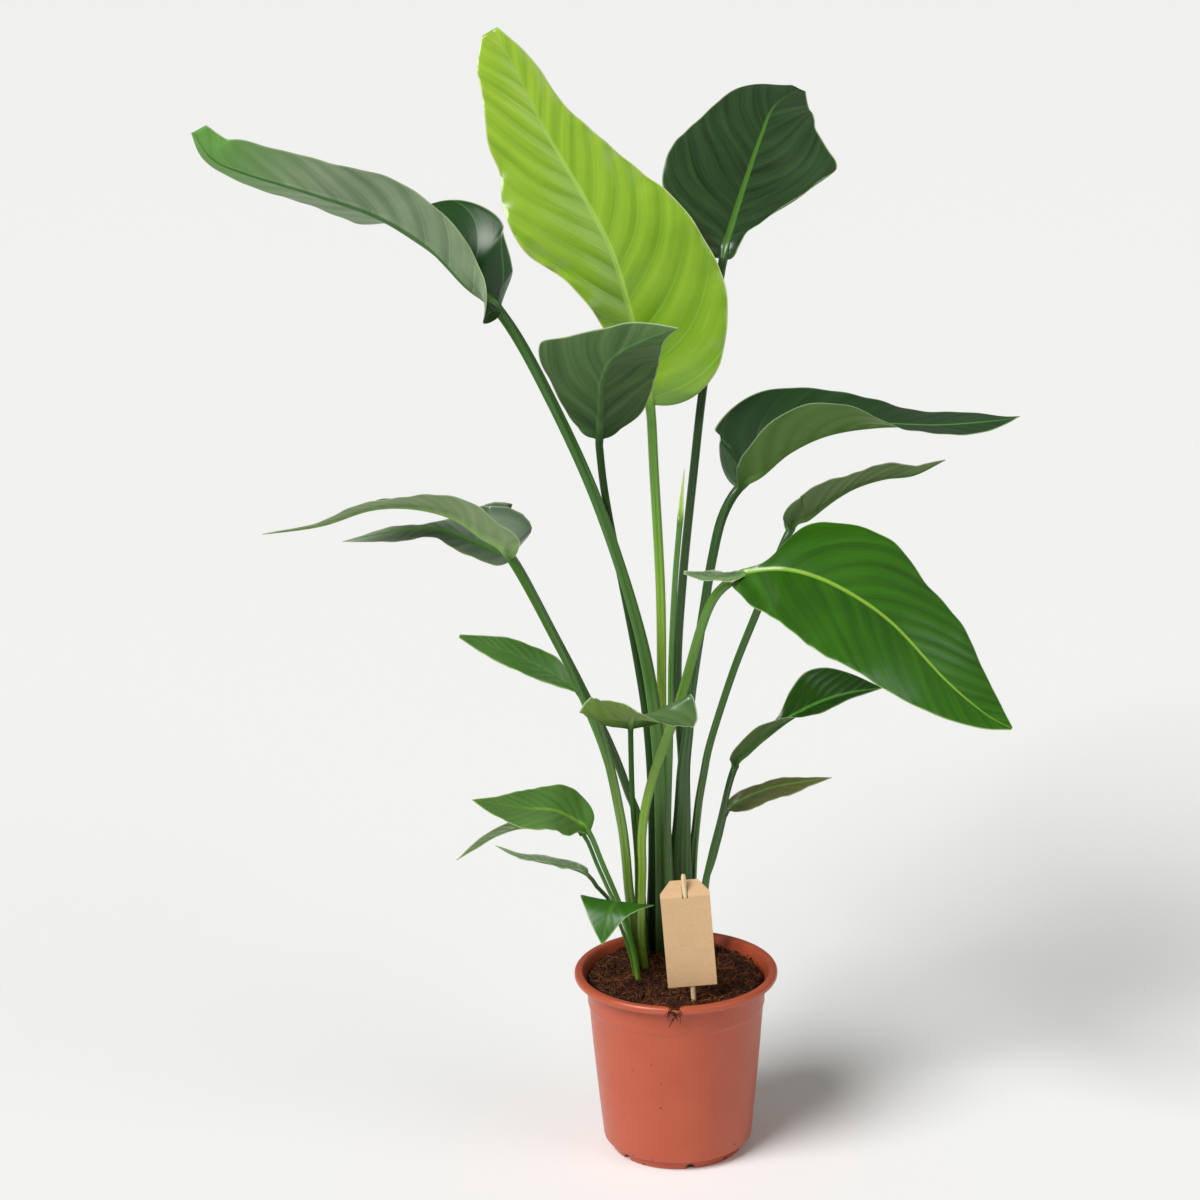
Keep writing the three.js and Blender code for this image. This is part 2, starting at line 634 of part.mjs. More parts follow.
// What the soil gives way to: the foot of the stalk, wider and deeper by the clearance.
function footGeometry(leaf) {
  const { curve, lower } = curveOf(leaf);
  const ways = [0, FOOT_LENGTH / lower.length];
  const foot = ways.map((way) => stalkRows(leaf, curve, lower.shareAt(way), way, CLEARANCE));
  const [bottom, top] = ways.map((way) => keyedVector(curve, lower.shareAt(way)));
  const drop = bottom.sub(top).setLength(CLEARANCE);
  [...foot[0].over, ...foot[0].under].forEach((point) => point.add(drop));
  return loft(foot);
}

// A rod between two points, with a flat disc at each end.
function rodGeometry(bottom, top, radius) {
  const from = new THREE.Vector3(...bottom);
  const way = new THREE.Vector3(...top).sub(from);
  const geometry = new THREE.CylinderGeometry(radius, radius, way.length(), ROD_SEGMENTS);
  const upright = new THREE.Vector3(0, 1, 0);
  const turn = new THREE.Quaternion().setFromUnitVectors(upright, way.clone().normalize());
  geometry.applyQuaternion(turn);
  geometry.translate(...from.addScaledVector(way, 0.5).toArray());
  return geometry;
}

// Geometry as a closed solid for joining and cutting, and back.
function solid(geometry) {
  const welded = mergeVertices(geometry.clone().deleteAttribute('normal')
    .deleteAttribute('uv'), 1e-4);
  return new wasm.Manifold(new wasm.Mesh({
    numProp: 3,
    vertProperties: new Float32Array(welded.attributes.position.array),
    triVerts: new Uint32Array(welded.index.array),
  }));
}

function surface(body) {
  const mesh = body.getMesh();
  const geometry = new THREE.BufferGeometry();
  geometry.setAttribute('position', new THREE.BufferAttribute(mesh.vertProperties, 3));
  geometry.setIndex(new THREE.BufferAttribute(mesh.triVerts, 1));
  return geometry;
}

// A closed profile of [radius, height] corners turned about the pot's axis.
function turned(profile, segments) {
  const corners = profile.map(([radius, height]) => new THREE.Vector2(radius, height));
  const geometry = new THREE.LatheGeometry(corners, segments);
  geometry.rotateX(Math.PI / 2);
  return geometry;
}

// The front right leaf with the curled tongue at its base.
function tonguedLeafGeometry(leaf, tongue) {
  const { curve, upper } = curveOf(tongue);
  return surface(solid(leafGeometry(leaf)).add(solid(loft(bladeStations(tongue, curve, upper)))));
}

// Pot: thin moulded plastic, a rolled lip, a band above a step, and an inset foot ring with
// arched notches; a hub under the floor reaches down to the ground.
function potGeometry() {
  let pot = solid(turned(POT_PROFILE, POT_SEGMENTS));
  for (let i = 0; i < FOOT_NOTCHES; i += 1) {
    const angle = THREE.MathUtils.degToRad(NOTCH_FIRST_ANGLE + (360 / FOOT_NOTCHES) * i);
    const way = [Math.cos(angle), Math.sin(angle)];
    const inside = [way[0] * (FOOT_INNER - 4), way[1] * (FOOT_INNER - 4), 0];
    const outside = [way[0] * (FOOT_OUTER + 4), way[1] * (FOOT_OUTER + 4), 0];
    pot = pot.subtract(solid(rodGeometry(inside, outside, NOTCH_RADIUS)));
  }
  for (let i = 0; i < DRAIN_HOLES; i += 1) {
    const angle = (2 * Math.PI * i) / DRAIN_HOLES;
    const place = [DRAIN_RING * Math.cos(angle), DRAIN_RING * Math.sin(angle)];
    const hole = rodGeometry([...place, UNDER_FLOOR - 1], [...place, FLOOR_TOP + 1], DRAIN_RADIUS);
    pot = pot.subtract(solid(hole));
  }
  return surface(pot);
}

// Level of the soil: low along the wall, mounded round the clump, with slow ripples.
function soilLevel(x, y) {
  const away = ((x - SOIL_MOUND_CENTRE[0]) ** 2 + (y - SOIL_MOUND_CENTRE[1]) ** 2)
    / SOIL_MOUND_SPREAD ** 2;
  const ripple = Math.sin(x / 7 + 1) * Math.cos(y / 9) + 0.7 * Math.sin((x + y) / 5);
  return SOIL_EDGE_LEVEL + SOIL_MOUND * Math.exp(-away) + SOIL_RIPPLE * ripple;
}

// Soil: fills the pot from its floor up to a rippled mound, with a plain hole for every foot.
function soilGeometry(leaves) {
  const inner = SOIL_SIDE.map(([radius, height]) => [radius - CLEARANCE, height]);
  const top = SOIL_RINGS.map((radius) => [radius, SOIL_EDGE_LEVEL]);
  const geometry = turned([[0, FLOOR_TOP + CLEARANCE], ...inner, ...top], SOIL_SEGMENTS);
  const place = geometry.attributes.position;
  for (let i = 0; i < place.count; i += 1) {
    if (place.getZ(i) > SOIL_EDGE_LEVEL - 0.5) {
      place.setZ(i, soilLevel(place.getX(i), place.getY(i)));
    }
  }
  let soil = solid(geometry);
  leaves.forEach((leaf) => {
    soil = soil.subtract(solid(footGeometry(leaf)));
  });
  const lower = STICK_BOTTOM.map((value, k) => value - (k === 2 ? CLEARANCE : 0));
  soil = soil.subtract(solid(rodGeometry(lower, STICK_TOP, STICK_RADIUS + CLEARANCE)));
  return surface(soil);
}

// Card: a plate with cut top corners whose top flap is folded back, so that the stick stands
// behind the plate, comes through the slot at the fold and crosses in front of the flap's end.
function cardGeometry() {
  const half = CARD_WIDTH / 2;
  const body = new THREE.Shape([
    new THREE.Vector2(-half, -CARD_BODY),
    new THREE.Vector2(half, -CARD_BODY),
    new THREE.Vector2(half, 0),
    new THREE.Vector2(-half, 0),
  ]);
  const flap = new THREE.Shape([
    new THREE.Vector2(-half, -CARD_THICKNESS / 4),
    new THREE.Vector2(half, -CARD_THICKNESS / 4),
    new THREE.Vector2(half, CARD_CHAMFER_START),
    new THREE.Vector2(CARD_TOP_HALF, CARD_FLAP),
    new THREE.Vector2(-CARD_TOP_HALF, CARD_FLAP),
    new THREE.Vector2(-half, CARD_CHAMFER_START),
  ]);
  const plate = (shape) => new THREE.ExtrudeGeometry(shape, {
    depth: CARD_THICKNESS,
    bevelEnabled: false,
  }).translate(0, 0, -CARD_THICKNESS / 2);
  const folded = plate(flap).rotateX(THREE.MathUtils.degToRad(-CARD_FLAP_ANGLE));
  const [slotWide, slotLong] = CARD_SLOT;
  const slotTop = slotLong * Math.cos(THREE.MathUtils.degToRad(CARD_FLAP_ANGLE));
  const slotShape = new THREE.Shape([
    new THREE.Vector2(-slotWide / 2, -CARD_SLOT_BELOW),
    new THREE.Vector2(slotWide / 2, -CARD_SLOT_BELOW),
    new THREE.Vector2(slotWide / 2, slotTop),
    new THREE.Vector2(-slotWide / 2, slotTop),
  ]);
  const slot = new THREE.ExtrudeGeometry(slotShape, { depth: 40, bevelEnabled: false });
  slot.translate(0, 0, -20);
  const card = surface(solid(plate(body)).add(solid(folded)).subtract(solid(slot)));

  const bottom = new THREE.Vector3(...STICK_BOTTOM);
  const along = new THREE.Vector3(...STICK_TOP).sub(bottom).normalize();
  const right = new THREE.Vector3(1, 0, 0).addScaledVector(along, -along.x).normalize();
  const front = new THREE.Vector3().crossVectors(right, along);
  const fold = bottom.addScaledVector(along, CARD_FOLD_ALONG_STICK)
    .addScaledVector(front, STICK_RADIUS + CARD_THICKNESS / 2 + CARD_GAP);
  card.applyMatrix4(new THREE.Matrix4().makeBasis(right, along, front).setPosition(fold));
  return card;
}

const part = new THREE.Group();

function add(name, geometry, colour, roughness) {
  const material = new THREE.MeshStandardMaterial({ color: colour, roughness, metalness: 0 });
  const mesh = new THREE.Mesh(geometry, material);
  mesh.name = name;
  part.add(mesh);
}

add('pot', potGeometry(), 0xc8604a, 0.5);
add('soil', soilGeometry(Object.values(LEAVES)), 0x3c2418, 0.95);
Object.entries(LEAVES).forEach(([name, leaf]) => {
  const geometry = leaf === LEAVES.leaf_right_front
    ? tonguedLeafGeometry(leaf, BASE_TONGUE)
    : leafGeometry(leaf);
  add(name, geometry, leaf.colour, 0.45);
});
add('stick', rodGeometry(STICK_BOTTOM, STICK_TOP, STICK_RADIUS), 0xe6cfa6, 0.7);
add('card', cardGeometry(), 0xe1be96, 0.85);

export default part;
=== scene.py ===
"""Potted bird of paradise: a nursery pot of coir mix with a clump of long-stalked leaves and a
blank card on a stick. Sizes in millimetres turn into Blender's metres as each mesh is made."""
import bmesh
import bpy
import numpy as np
from mathutils import Matrix


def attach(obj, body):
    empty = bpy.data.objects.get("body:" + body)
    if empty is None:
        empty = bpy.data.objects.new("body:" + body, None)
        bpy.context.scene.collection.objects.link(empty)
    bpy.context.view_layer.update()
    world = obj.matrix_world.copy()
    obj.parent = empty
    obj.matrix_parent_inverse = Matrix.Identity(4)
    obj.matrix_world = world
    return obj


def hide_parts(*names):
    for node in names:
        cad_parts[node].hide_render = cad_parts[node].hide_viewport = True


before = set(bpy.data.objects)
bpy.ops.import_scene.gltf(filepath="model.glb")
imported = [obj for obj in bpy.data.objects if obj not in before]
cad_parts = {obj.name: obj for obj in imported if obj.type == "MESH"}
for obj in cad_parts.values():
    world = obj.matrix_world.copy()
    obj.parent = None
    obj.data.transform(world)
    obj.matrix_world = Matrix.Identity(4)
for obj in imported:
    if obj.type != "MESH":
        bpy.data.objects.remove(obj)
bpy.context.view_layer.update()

# ---- Studio -----------------------------------------------------------------------------------
# The photo's view: a long lens a little above the plant, looking down at the pot's rim. A pale
# sweep of paper fills the frame, under a large soft light from the upper left and a weaker one
# from the right.
MM = 0.001
CAMERA_PLACE = (-0.0715, -3.0, 1.464)
CAMERA_TILT_DOWN = 16.2
CAMERA_ROLL = -1.05
CAMERA_LENS = 93.8
FLOOR_HALF = 40.0
PAPER = "FBFBFA"
SKY = "F6F6F4"
SKY_STRENGTH = 0.18
KEY = {"way": (0.72, 0.64, -0.95), "strength": 3.1, "angle": 34}
FILL = {"way": (-0.8, 0.5, -0.6), "strength": 0.45, "angle": 40}


def linear(code, alpha=1.0):
    """Linear colour of an sRGB hex code: each channel c gives c / 12.92 up to 0.04045 and
    ((c + 0.055) / 1.055)^2.4 above it."""
    c = np.array([int(code[k:k + 2], 16) for k in (0, 2, 4)]) / 255.0
    c = np.where(c <= 0.04045, c / 12.92, ((c + 0.055) / 1.055) ** 2.4)
    return (*c.tolist(), alpha)


def add(tree, kind, inputs=None, give=None, **settings):
    """Adds one shader node. settings are its own properties; inputs gives each named socket a
    value or the output that feeds it. Returns the node, or its output called give."""
    made = tree.nodes.new(kind)
    for name, value in settings.items():
        setattr(made, name, value)
    for key, value in (inputs or {}).items():
        if isinstance(value, bpy.types.NodeSocket):
            tree.links.new(value, made.inputs[key])
        else:
            made.inputs[key].default_value = value
    return made if give is None else made.outputs[give]


def new_material(name):
    """An empty material and its node tree."""
    made = bpy.data.materials.new(name)
    made.use_nodes = True
    made.node_tree.nodes.clear()
    return made, made.node_tree


def new_piece(name, points, faces, material, smooth=True):
    """A mesh object from points in millimetres and faces, a list or an array."""
    faces = faces.tolist() if isinstance(faces, np.ndarray) else faces
    mesh = bpy.data.meshes.new(name)
    mesh.from_pydata((np.asarray(points) * MM).tolist(), [], faces)
    mesh.polygons.foreach_set("use_smooth", np.full(len(mesh.polygons), smooth))
    mesh.update()
    piece = bpy.data.objects.new(name, mesh)
    bpy.context.scene.collection.objects.link(piece)
    if material:
        mesh.materials.append(material)
    return piece


bpy.context.scene.view_settings.view_transform = "Standard"

world = bpy.data.worlds.new("studio")
world.use_nodes = True
world.node_tree.nodes.clear()
sky = add(world.node_tree, "ShaderNodeBackground",
          {"Color": linear(SKY), "Strength": SKY_STRENGTH}, "Background")
add(world.node_tree, "ShaderNodeOutputWorld", {"Surface": sky})
bpy.context.scene.world = world

camera = bpy.data.objects.new("camera", bpy.data.cameras.new("camera"))
camera.data.lens = CAMERA_LENS
camera.data.sensor_width = 36.0
camera.data.clip_end = 200.0
camera.matrix_world = (Matrix.Translation(CAMERA_PLACE)
                       @ Matrix.Rotation(np.radians(90 - CAMERA_TILT_DOWN), 4, "X")
                       @ Matrix.Rotation(np.radians(CAMERA_ROLL), 4, "Z"))
bpy.context.scene.collection.objects.link(camera)
bpy.context.scene.camera = camera

for name, lamp_facts in (("key_light", KEY), ("fill_light", FILL)):
    light = bpy.data.lights.new(name, "SUN")
    light.energy = lamp_facts["strength"]
    light.angle = np.radians(lamp_facts["angle"])
    lamp = bpy.data.objects.new(name, light)
    way = np.array(lamp_facts["way"])
    lamp.rotation_euler = (np.arccos(-way[2] / np.linalg.norm(way)), 0,
                           np.arctan2(way[1], way[0]) - np.pi / 2)
    bpy.context.scene.collection.objects.link(lamp)

paper, tree = new_material("matt background paper")
shader = add(tree, "ShaderNodeBsdfPrincipled",
             {"Base Color": linear(PAPER), "Roughness": 0.95}, "BSDF")
add(tree, "ShaderNodeOutputMaterial", {"Surface": shader})
side = FLOOR_HALF / MM
floor = new_piece("paper_sweep", [(-side, -side, -0.5), (side, -side, -0.5),
                                  (side, side, -0.5), (-side, side, -0.5)],
                  [(0, 1, 2, 3)], paper, smooth=False)

# ---- Pot --------------------------------------------------------------------------------------
# A 21 cm nursery pot, injection moulded in terracotta-coloured polypropylene: a rolled lip, a
# band that is a little wider above a step, a tapered wall, and a foot ring set in under it with
# arched notches and drainage holes in the floor.
POT_TURNS = 384
UNDER_FLOOR = 9.5
FLOOR_TOP = 11.5
FOOT_INNER, FOOT_OUTER = 65.0, 69.0
HUB_RADIUS = 14.0
POT_PROFILE = [
    (0, 0), (HUB_RADIUS, 0), (HUB_RADIUS + 1, UNDER_FLOOR), (FOOT_INNER - 1, UNDER_FLOOR),
    (FOOT_INNER, 0), (FOOT_OUTER, 0), (FOOT_OUTER + 1.2, UNDER_FLOOR), (75.6, 10),
    (77.2, 12), (80.7, 46), (86.9, 114), (90.2, 157), (91.6, 160), (91.8, 168),
    (93.6, 186.5), (103.6, 187), (105, 189), (105, 192.5), (103.4, 194.6), (100.6, 195),
    (97.4, 194.6), (95.4, 192), (92, 185), (88.4, 157), (85.2, 114), (79, 46),
    (75.4, 13.5), (73.5, FLOOR_TOP), (0, FLOOR_TOP),
]
CORNER_ROUND = 1.4
CORNER_STEPS = 4
POT_SIDE_STEP = 12.0
FOOT_MARGIN = 3.0
FOOT_NOTCHES = 6
NOTCH_RADIUS = 5.0
NOTCH_FIRST_ANGLE = -81.0
DRAIN_HOLES = 8
DRAIN_RADIUS = 4.5
DRAIN_RING = 42.0
DRAIN_SIDES = 24


def face_outwards(piece, reach=0.0):
    """Turns every face outwards, after points closer than reach millimetres are merged."""
    shape = bmesh.new()
    shape.from_mesh(piece.data)
    if reach:
        bmesh.ops.remove_doubles(shape, verts=shape.verts, dist=reach * MM)
        bmesh.ops.dissolve_degenerate(shape, edges=shape.edges, dist=1e-7)
    bmesh.ops.recalc_face_normals(shape, faces=shape.faces)
    shape.to_mesh(piece.data)
    shape.free()


def apply_modifiers(piece):
    """Replaces the piece's mesh by what its modifiers make of it."""
    graph = bpy.context.evaluated_depsgraph_get()
    made = bpy.data.meshes.new_from_object(piece.evaluated_get(graph))
    piece.modifiers.clear()
    piece.data = made


def rounded(profile, radius, steps):
    """Each inner corner P becomes the arc (1-t)^2 A + 2t(1-t) P + t^2 B, where A and B lie on its
    two sides, radius away or a third of the side, whichever is less."""
    p = np.array(profile, float)
    back, ahead = p[:-2] - p[1:-1], p[2:] - p[1:-1]
    back_length = np.linalg.norm(back, axis=1, keepdims=True)
    ahead_length = np.linalg.norm(ahead, axis=1, keepdims=True)
    a = p[1:-1] + back * np.minimum(radius / back_length, 0.33)
    b = p[1:-1] + ahead * np.minimum(radius / ahead_length, 0.33)
    t = np.linspace(0, 1, steps)[None, :, None]
    arcs = (1 - t) ** 2 * a[:, None] + 2 * t * (1 - t) * p[1:-1, None] + t ** 2 * b[:, None]
    return np.vstack([p[:1], arcs.reshape(-1, 2), p[-1:]])


def split_long(profile, longest):
    """Adds evenly spaced points on each side that is longer than longest."""
    parts = []
    for start, end in zip(profile[:-1], profile[1:]):
        count = int(np.ceil(np.linalg.norm(end - start) / longest))
        parts.append(start + (end - start) * np.linspace(0, 1, count, endpoint=False)[:, None])
    return np.vstack(parts + [profile[-1:]])


def grid_faces(rows, columns, wrap=False):
    """Quads between neighbouring rows and columns of a grid of points; wrap joins the last column
    to the first."""
    i = np.arange(rows - 1)[:, None]
    j = np.arange(columns if wrap else columns - 1)[None, :]
    after = (j + 1) % columns
    return np.stack([i * columns + j, (i + 1) * columns + j,
                     (i + 1) * columns + after, i * columns + after], -1).reshape(-1, 4)


def turned(profile, turns):
    """Points (r cos a, r sin a, z) of a profile (r, z) at equal angles a, and their quads."""
    angle = np.linspace(0, 2 * np.pi, turns, endpoint=False)
    r, z = profile[:, 0, None], profile[:, 1, None]
    points = np.stack([r * np.cos(angle), r * np.sin(angle), z + 0 * angle], -1)
    return points.reshape(-1, 3), grid_faces(len(profile), turns, wrap=True)


def rod(start, end, radius, sides):
    """Corners and faces of a straight rod with flat ends."""
    start, end = np.array(start, float), np.array(end, float)
    way = (end - start) / np.linalg.norm(end - start)
    across = np.cross(way, [0.0, 1.0, 0.0] if abs(way[1]) < 0.9 else [1.0, 0.0, 0.0])
    across /= np.linalg.norm(across)
    angle = np.linspace(0, 2 * np.pi, sides, endpoint=False)[:, None]
    ring = radius * (np.cos(angle) * across + np.sin(angle) * np.cross(way, across))
    points = np.vstack([start + ring, end + ring])
    faces = [list(range(sides))[::-1], list(range(sides, 2 * sides))]
    faces += [[k, (k + 1) % sides, sides + (k + 1) % sides, sides + k] for k in range(sides)]
    return points, faces


# Moulded polypropylene with a fine spark-eroded skin: a soft broad highlight, a faint cloudiness
# in the colour and specks of potting mix stuck to it, thicker under the lip and at the foot.
def moulded_polypropylene():
    made, tree = new_material("moulded polypropylene, terracotta")
    place = add(tree, "ShaderNodeTexCoord", give="Object")
    height = add(tree, "ShaderNodeSeparateXYZ", {"Vector": place}, "Z")
    cloud = add(tree, "ShaderNodeTexNoise", {"Vector": place, "Scale": 1 / (45 * MM),
                                             "Detail": 3}, 0)
    skin = add(tree, "ShaderNodeTexNoise", {"Vector": place, "Scale": 1 / (0.9 * MM),
                                            "Detail": 2}, 0)
    patch = add(tree, "ShaderNodeTexNoise", {"Vector": place, "Scale": 1 / (22 * MM),
                                             "Detail": 1}, 0)
    speck = add(tree, "ShaderNodeTexVoronoi", {"Vector": place, "Scale": 1 / (9.5 * MM)})
    base = add(tree, "ShaderNodeMix", {"Factor": cloud, "A": linear("AC4B2D"),
                                       "B": linear("BD583A")}, "Result", data_type="RGBA")
    # Drawn marks round the wall, where pots are pulled out of each other.
    scuff = add(tree, "ShaderNodeMapping", {"Vector": place, "Scale": (1, 1, 4)}, "Vector")
    scuff = add(tree, "ShaderNodeTexNoise", {"Vector": scuff, "Scale": 1 / (12 * MM),
                                             "Detail": 6}, 0)
    gloss = add(tree, "ShaderNodeMapRange", {"Value": scuff, "From Min": 0.3, "From Max": 0.7,
                                             "To Min": 0.3, "To Max": 0.4}, "Result")
    # Specks of mix: more of them near the foot and under the lip.
    low = add(tree, "ShaderNodeMapRange", {"Value": height, "From Min": 30 * MM, "From Max": 0.0,
                                           "To Min": 0.0, "To Max": 0.1}, "Result")
    high = add(tree, "ShaderNodeMapRange", {"Value": height, "From Min": 165 * MM,
                                            "From Max": 190 * MM, "To Min": 0.0,
                                            "To Max": 0.07}, "Result")
    dusty = add(tree, "ShaderNodeMath", {0: low, 1: high}, 0, operation="ADD")
    reach = add(tree, "ShaderNodeMath", {0: patch, 1: 0.17, 2: dusty}, 0,
                operation="MULTIPLY_ADD")
    grain = add(tree, "ShaderNodeMath", {0: speck.outputs["Distance"], 1: reach}, 0,
                operation="LESS_THAN")
    draw_lot = add(tree, "ShaderNodeSeparateColor", {"Color": speck.outputs["Color"]}, "Red")
    chosen = add(tree, "ShaderNodeMath", {0: draw_lot, 1: 0.16}, 0, operation="LESS_THAN")
    dirt = add(tree, "ShaderNodeMath", {0: grain, 1: chosen}, 0, operation="MULTIPLY")
    colour = add(tree, "ShaderNodeMix", {"Factor": dirt, "A": base, "B": linear("3A2417")},
                 "Result", data_type="RGBA")
    bump = add(tree, "ShaderNodeBump", {"Height": skin, "Strength": 0.25, "Distance": 0.1 * MM},
               "Normal")
    shader = add(tree, "ShaderNodeBsdfPrincipled", {
        "Base Color": colour, "Roughness": gloss, "IOR": 1.49, "Normal": bump}, "BSDF")
    add(tree, "ShaderNodeOutputMaterial", {"Surface": shader})
    return made


points, faces = turned(split_long(rounded(POT_PROFILE, CORNER_ROUND, CORNER_STEPS), POT_SIDE_STEP),
                       POT_TURNS)
radius = np.hypot(points[:, 0], points[:, 1])
turn = np.degrees(np.arctan2(points[:, 1], points[:, 0]))
step = 360 / FOOT_NOTCHES
off = (turn - NOTCH_FIRST_ANGLE + step / 2) % step - step / 2
arch = np.sqrt(np.maximum(NOTCH_RADIUS ** 2 - (FOOT_OUTER * np.radians(off)) ** 2, 0))
in_foot = (radius > FOOT_INNER - FOOT_MARGIN) & (radius < FOOT_OUTER + FOOT_MARGIN)
points[:, 2] = np.where(in_foot, np.maximum(points[:, 2], arch), points[:, 2])
pot = new_piece("nursery_pot", points, faces, moulded_polypropylene())
face_outwards(pot, 0.01)
drains = []
for k in range(DRAIN_HOLES):
    angle = 2 * np.pi * k / DRAIN_HOLES
    place = (DRAIN_RING * np.cos(angle), DRAIN_RING * np.sin(angle))
    corners, sides = rod((*place, UNDER_FLOOR - 2), (*place, FLOOR_TOP + 2), DRAIN_RADIUS,
                         DRAIN_SIDES)
    drains.append(new_piece(f"drain_cutter_{k}", corners, sides, None))
for k, cutter in enumerate(drains):
    cut = pot.modifiers.new(f"drain_{k}", "BOOLEAN")
    cut.object = cutter
    cut.operation = "DIFFERENCE"
apply_modifiers(pot)
for cutter in drains:
    bpy.data.objects.remove(cutter)
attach(pot, "root")
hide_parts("pot")

# ---- Growing mix ------------------------------------------------------------------------------
# Coir and peat pressed into the pot to about 14 mm under the top of the lip, a little higher along
# the wall, and mounded round the clump. Its crumbs and husk fibres lie loose on top, and one tuft
# hangs over the front of the lip.
SOIL_GAP = 0.3
SOIL_EDGE_LEVEL = 181.0
SOIL_SIDE = [(73.4, 11.8), (75.2, 13.8), (79, 47), (85.1, 114), (88.3, 157),
             (91.1, SOIL_EDGE_LEVEL)]
SOIL_MOUND = 10.0
SOIL_MOUND_CENTRE = (-20.0, 22.0)
SOIL_MOUND_SPREAD = 48.0
SOIL_RIPPLE = 1.2
SOIL_TURNS = 300
SOIL_RINGS = 90
SOIL_RIM_DROP = 1.0
CRUMB_HEIGHT = 5.5
WALL_HEAP = 6.0
HEAP_START, HEAP_END = 55.0, 85.0
RIM_WIDTH = 4.0
RIM_REACH = 90.8
CRUMBS = 1100
CRUMB_REACH = 89.0
CRUMB_SMALLEST, CRUMB_SPREAD = 0.9, 2.6
FIBRES = 1500
FIBRE_REACH = 86.0
FIBRE_LIMIT = 88.5
FIBRE_STATIONS = 7
FIBRE_SIDES = 3
FIBRE_SHORTEST, FIBRE_LONGER = 4.0, 26.0
FIBRE_THINNEST, FIBRE_THICKER = 0.12, 0.3
FIBRE_RISE = 8.0
FIBRE_BEND = 26.0
TUFT_FIBRES = 64
TUFT_PLACE = (-5.0, -103.6, 195.3)
TUFT_SPREAD = (2.3, 2.0, 0.3)
TUFT_FAN = 0.45
TUFT_SHORTEST, TUFT_LONGER = 3.0, 6.5
TUFT_THINNEST, TUFT_THICKER = 0.2, 0.25
TUFT_RISE = 2.4
TUFT_BEND = 6.0
TUFT_FALL = 1.7
LIP_EDGE = -103.0
LIP_HANG = 3.0


def soil_level(x, y):
    """Level of the mix: 181 + 10 exp(-(distance from the mound's centre / 48)^2) and slow ripples
    of 1.2 mm, sin(x/7 + 1) cos(y/9) + 0.7 sin((x + y)/5)."""
    centre_x, centre_y = SOIL_MOUND_CENTRE
    away = ((x - centre_x) ** 2 + (y - centre_y) ** 2) / SOIL_MOUND_SPREAD ** 2
    ripple = np.sin(x / 7 + 1) * np.cos(y / 9) + 0.7 * np.sin((x + y) / 5)
    return SOIL_EDGE_LEVEL + SOIL_MOUND * np.exp(-away) + SOIL_RIPPLE * ripple


def crumbling(x, y, cell, seed):
    """Smooth random heights from 0 to 1: a seeded lattice of cell millimetres, blended between its
    corners by 3 f^2 - 2 f^3."""
    lattice = np.random.default_rng(seed).random((256, 256))
    i, j = np.floor(x / cell).astype(int), np.floor(y / cell).astype(int)
    f, g = x / cell - i, y / cell - j
    f, g = f * f * (3 - 2 * f), g * g * (3 - 2 * g)
    at = lambda a, b: lattice[(i + a) % 256, (j + b) % 256]
    return (at(0, 0) * (1 - f) + at(1, 0) * f) * (1 - g) + (at(0, 1) * (1 - f) + at(1, 1) * f) * g


def mix_top(x, y):
    """Top of the mix with its crumbs: the level, lumps of 9, 4 and 1.8 mm, and a loose heap of
    6 mm that rises toward the wall."""
    lumps = (crumbling(x, y, 9.0, 1) + 0.6 * crumbling(x, y, 4.0, 2)
             + 0.35 * crumbling(x, y, 1.8, 3)) / 1.95
    heap = np.clip((np.hypot(x, y) - HEAP_START) / (HEAP_END - HEAP_START), 0, 1)
    return soil_level(x, y) + CRUMB_HEIGHT * (lumps - 0.55) + WALL_HEAP * heap


def several(outline, faces, places, turns, sizes):
    """One mesh of many small shapes: each is the outline scaled by its sizes, turned by its
    rotation matrix and moved to its place."""
    points = np.einsum("nij,nkj->nki", turns, outline[None] * sizes[:, None, :]) + places[:, None]
    offsets = np.arange(len(places))[:, None, None] * len(outline)
    return points.reshape(-1, 3), (faces[None] + offsets).reshape(-1, faces.shape[1])


def random_turns(count, draw):
    """Rotation matrices: a turn about the vertical by any angle after a tilt of up to a quarter
    turn."""
    a = draw.random(count) * 2 * np.pi
    b = (draw.random(count) - 0.5) * np.pi
    one, nil = np.ones(count), np.zeros(count)
    spin = np.array([[np.cos(a), -np.sin(a), nil], [np.sin(a), np.cos(a), nil], [nil, nil, one]])
    tilt = np.array([[one, nil, nil], [nil, np.cos(b), -np.sin(b)], [nil, np.sin(b), np.cos(b)]])
    return np.einsum("ijn,jkn->nik", spin, tilt)


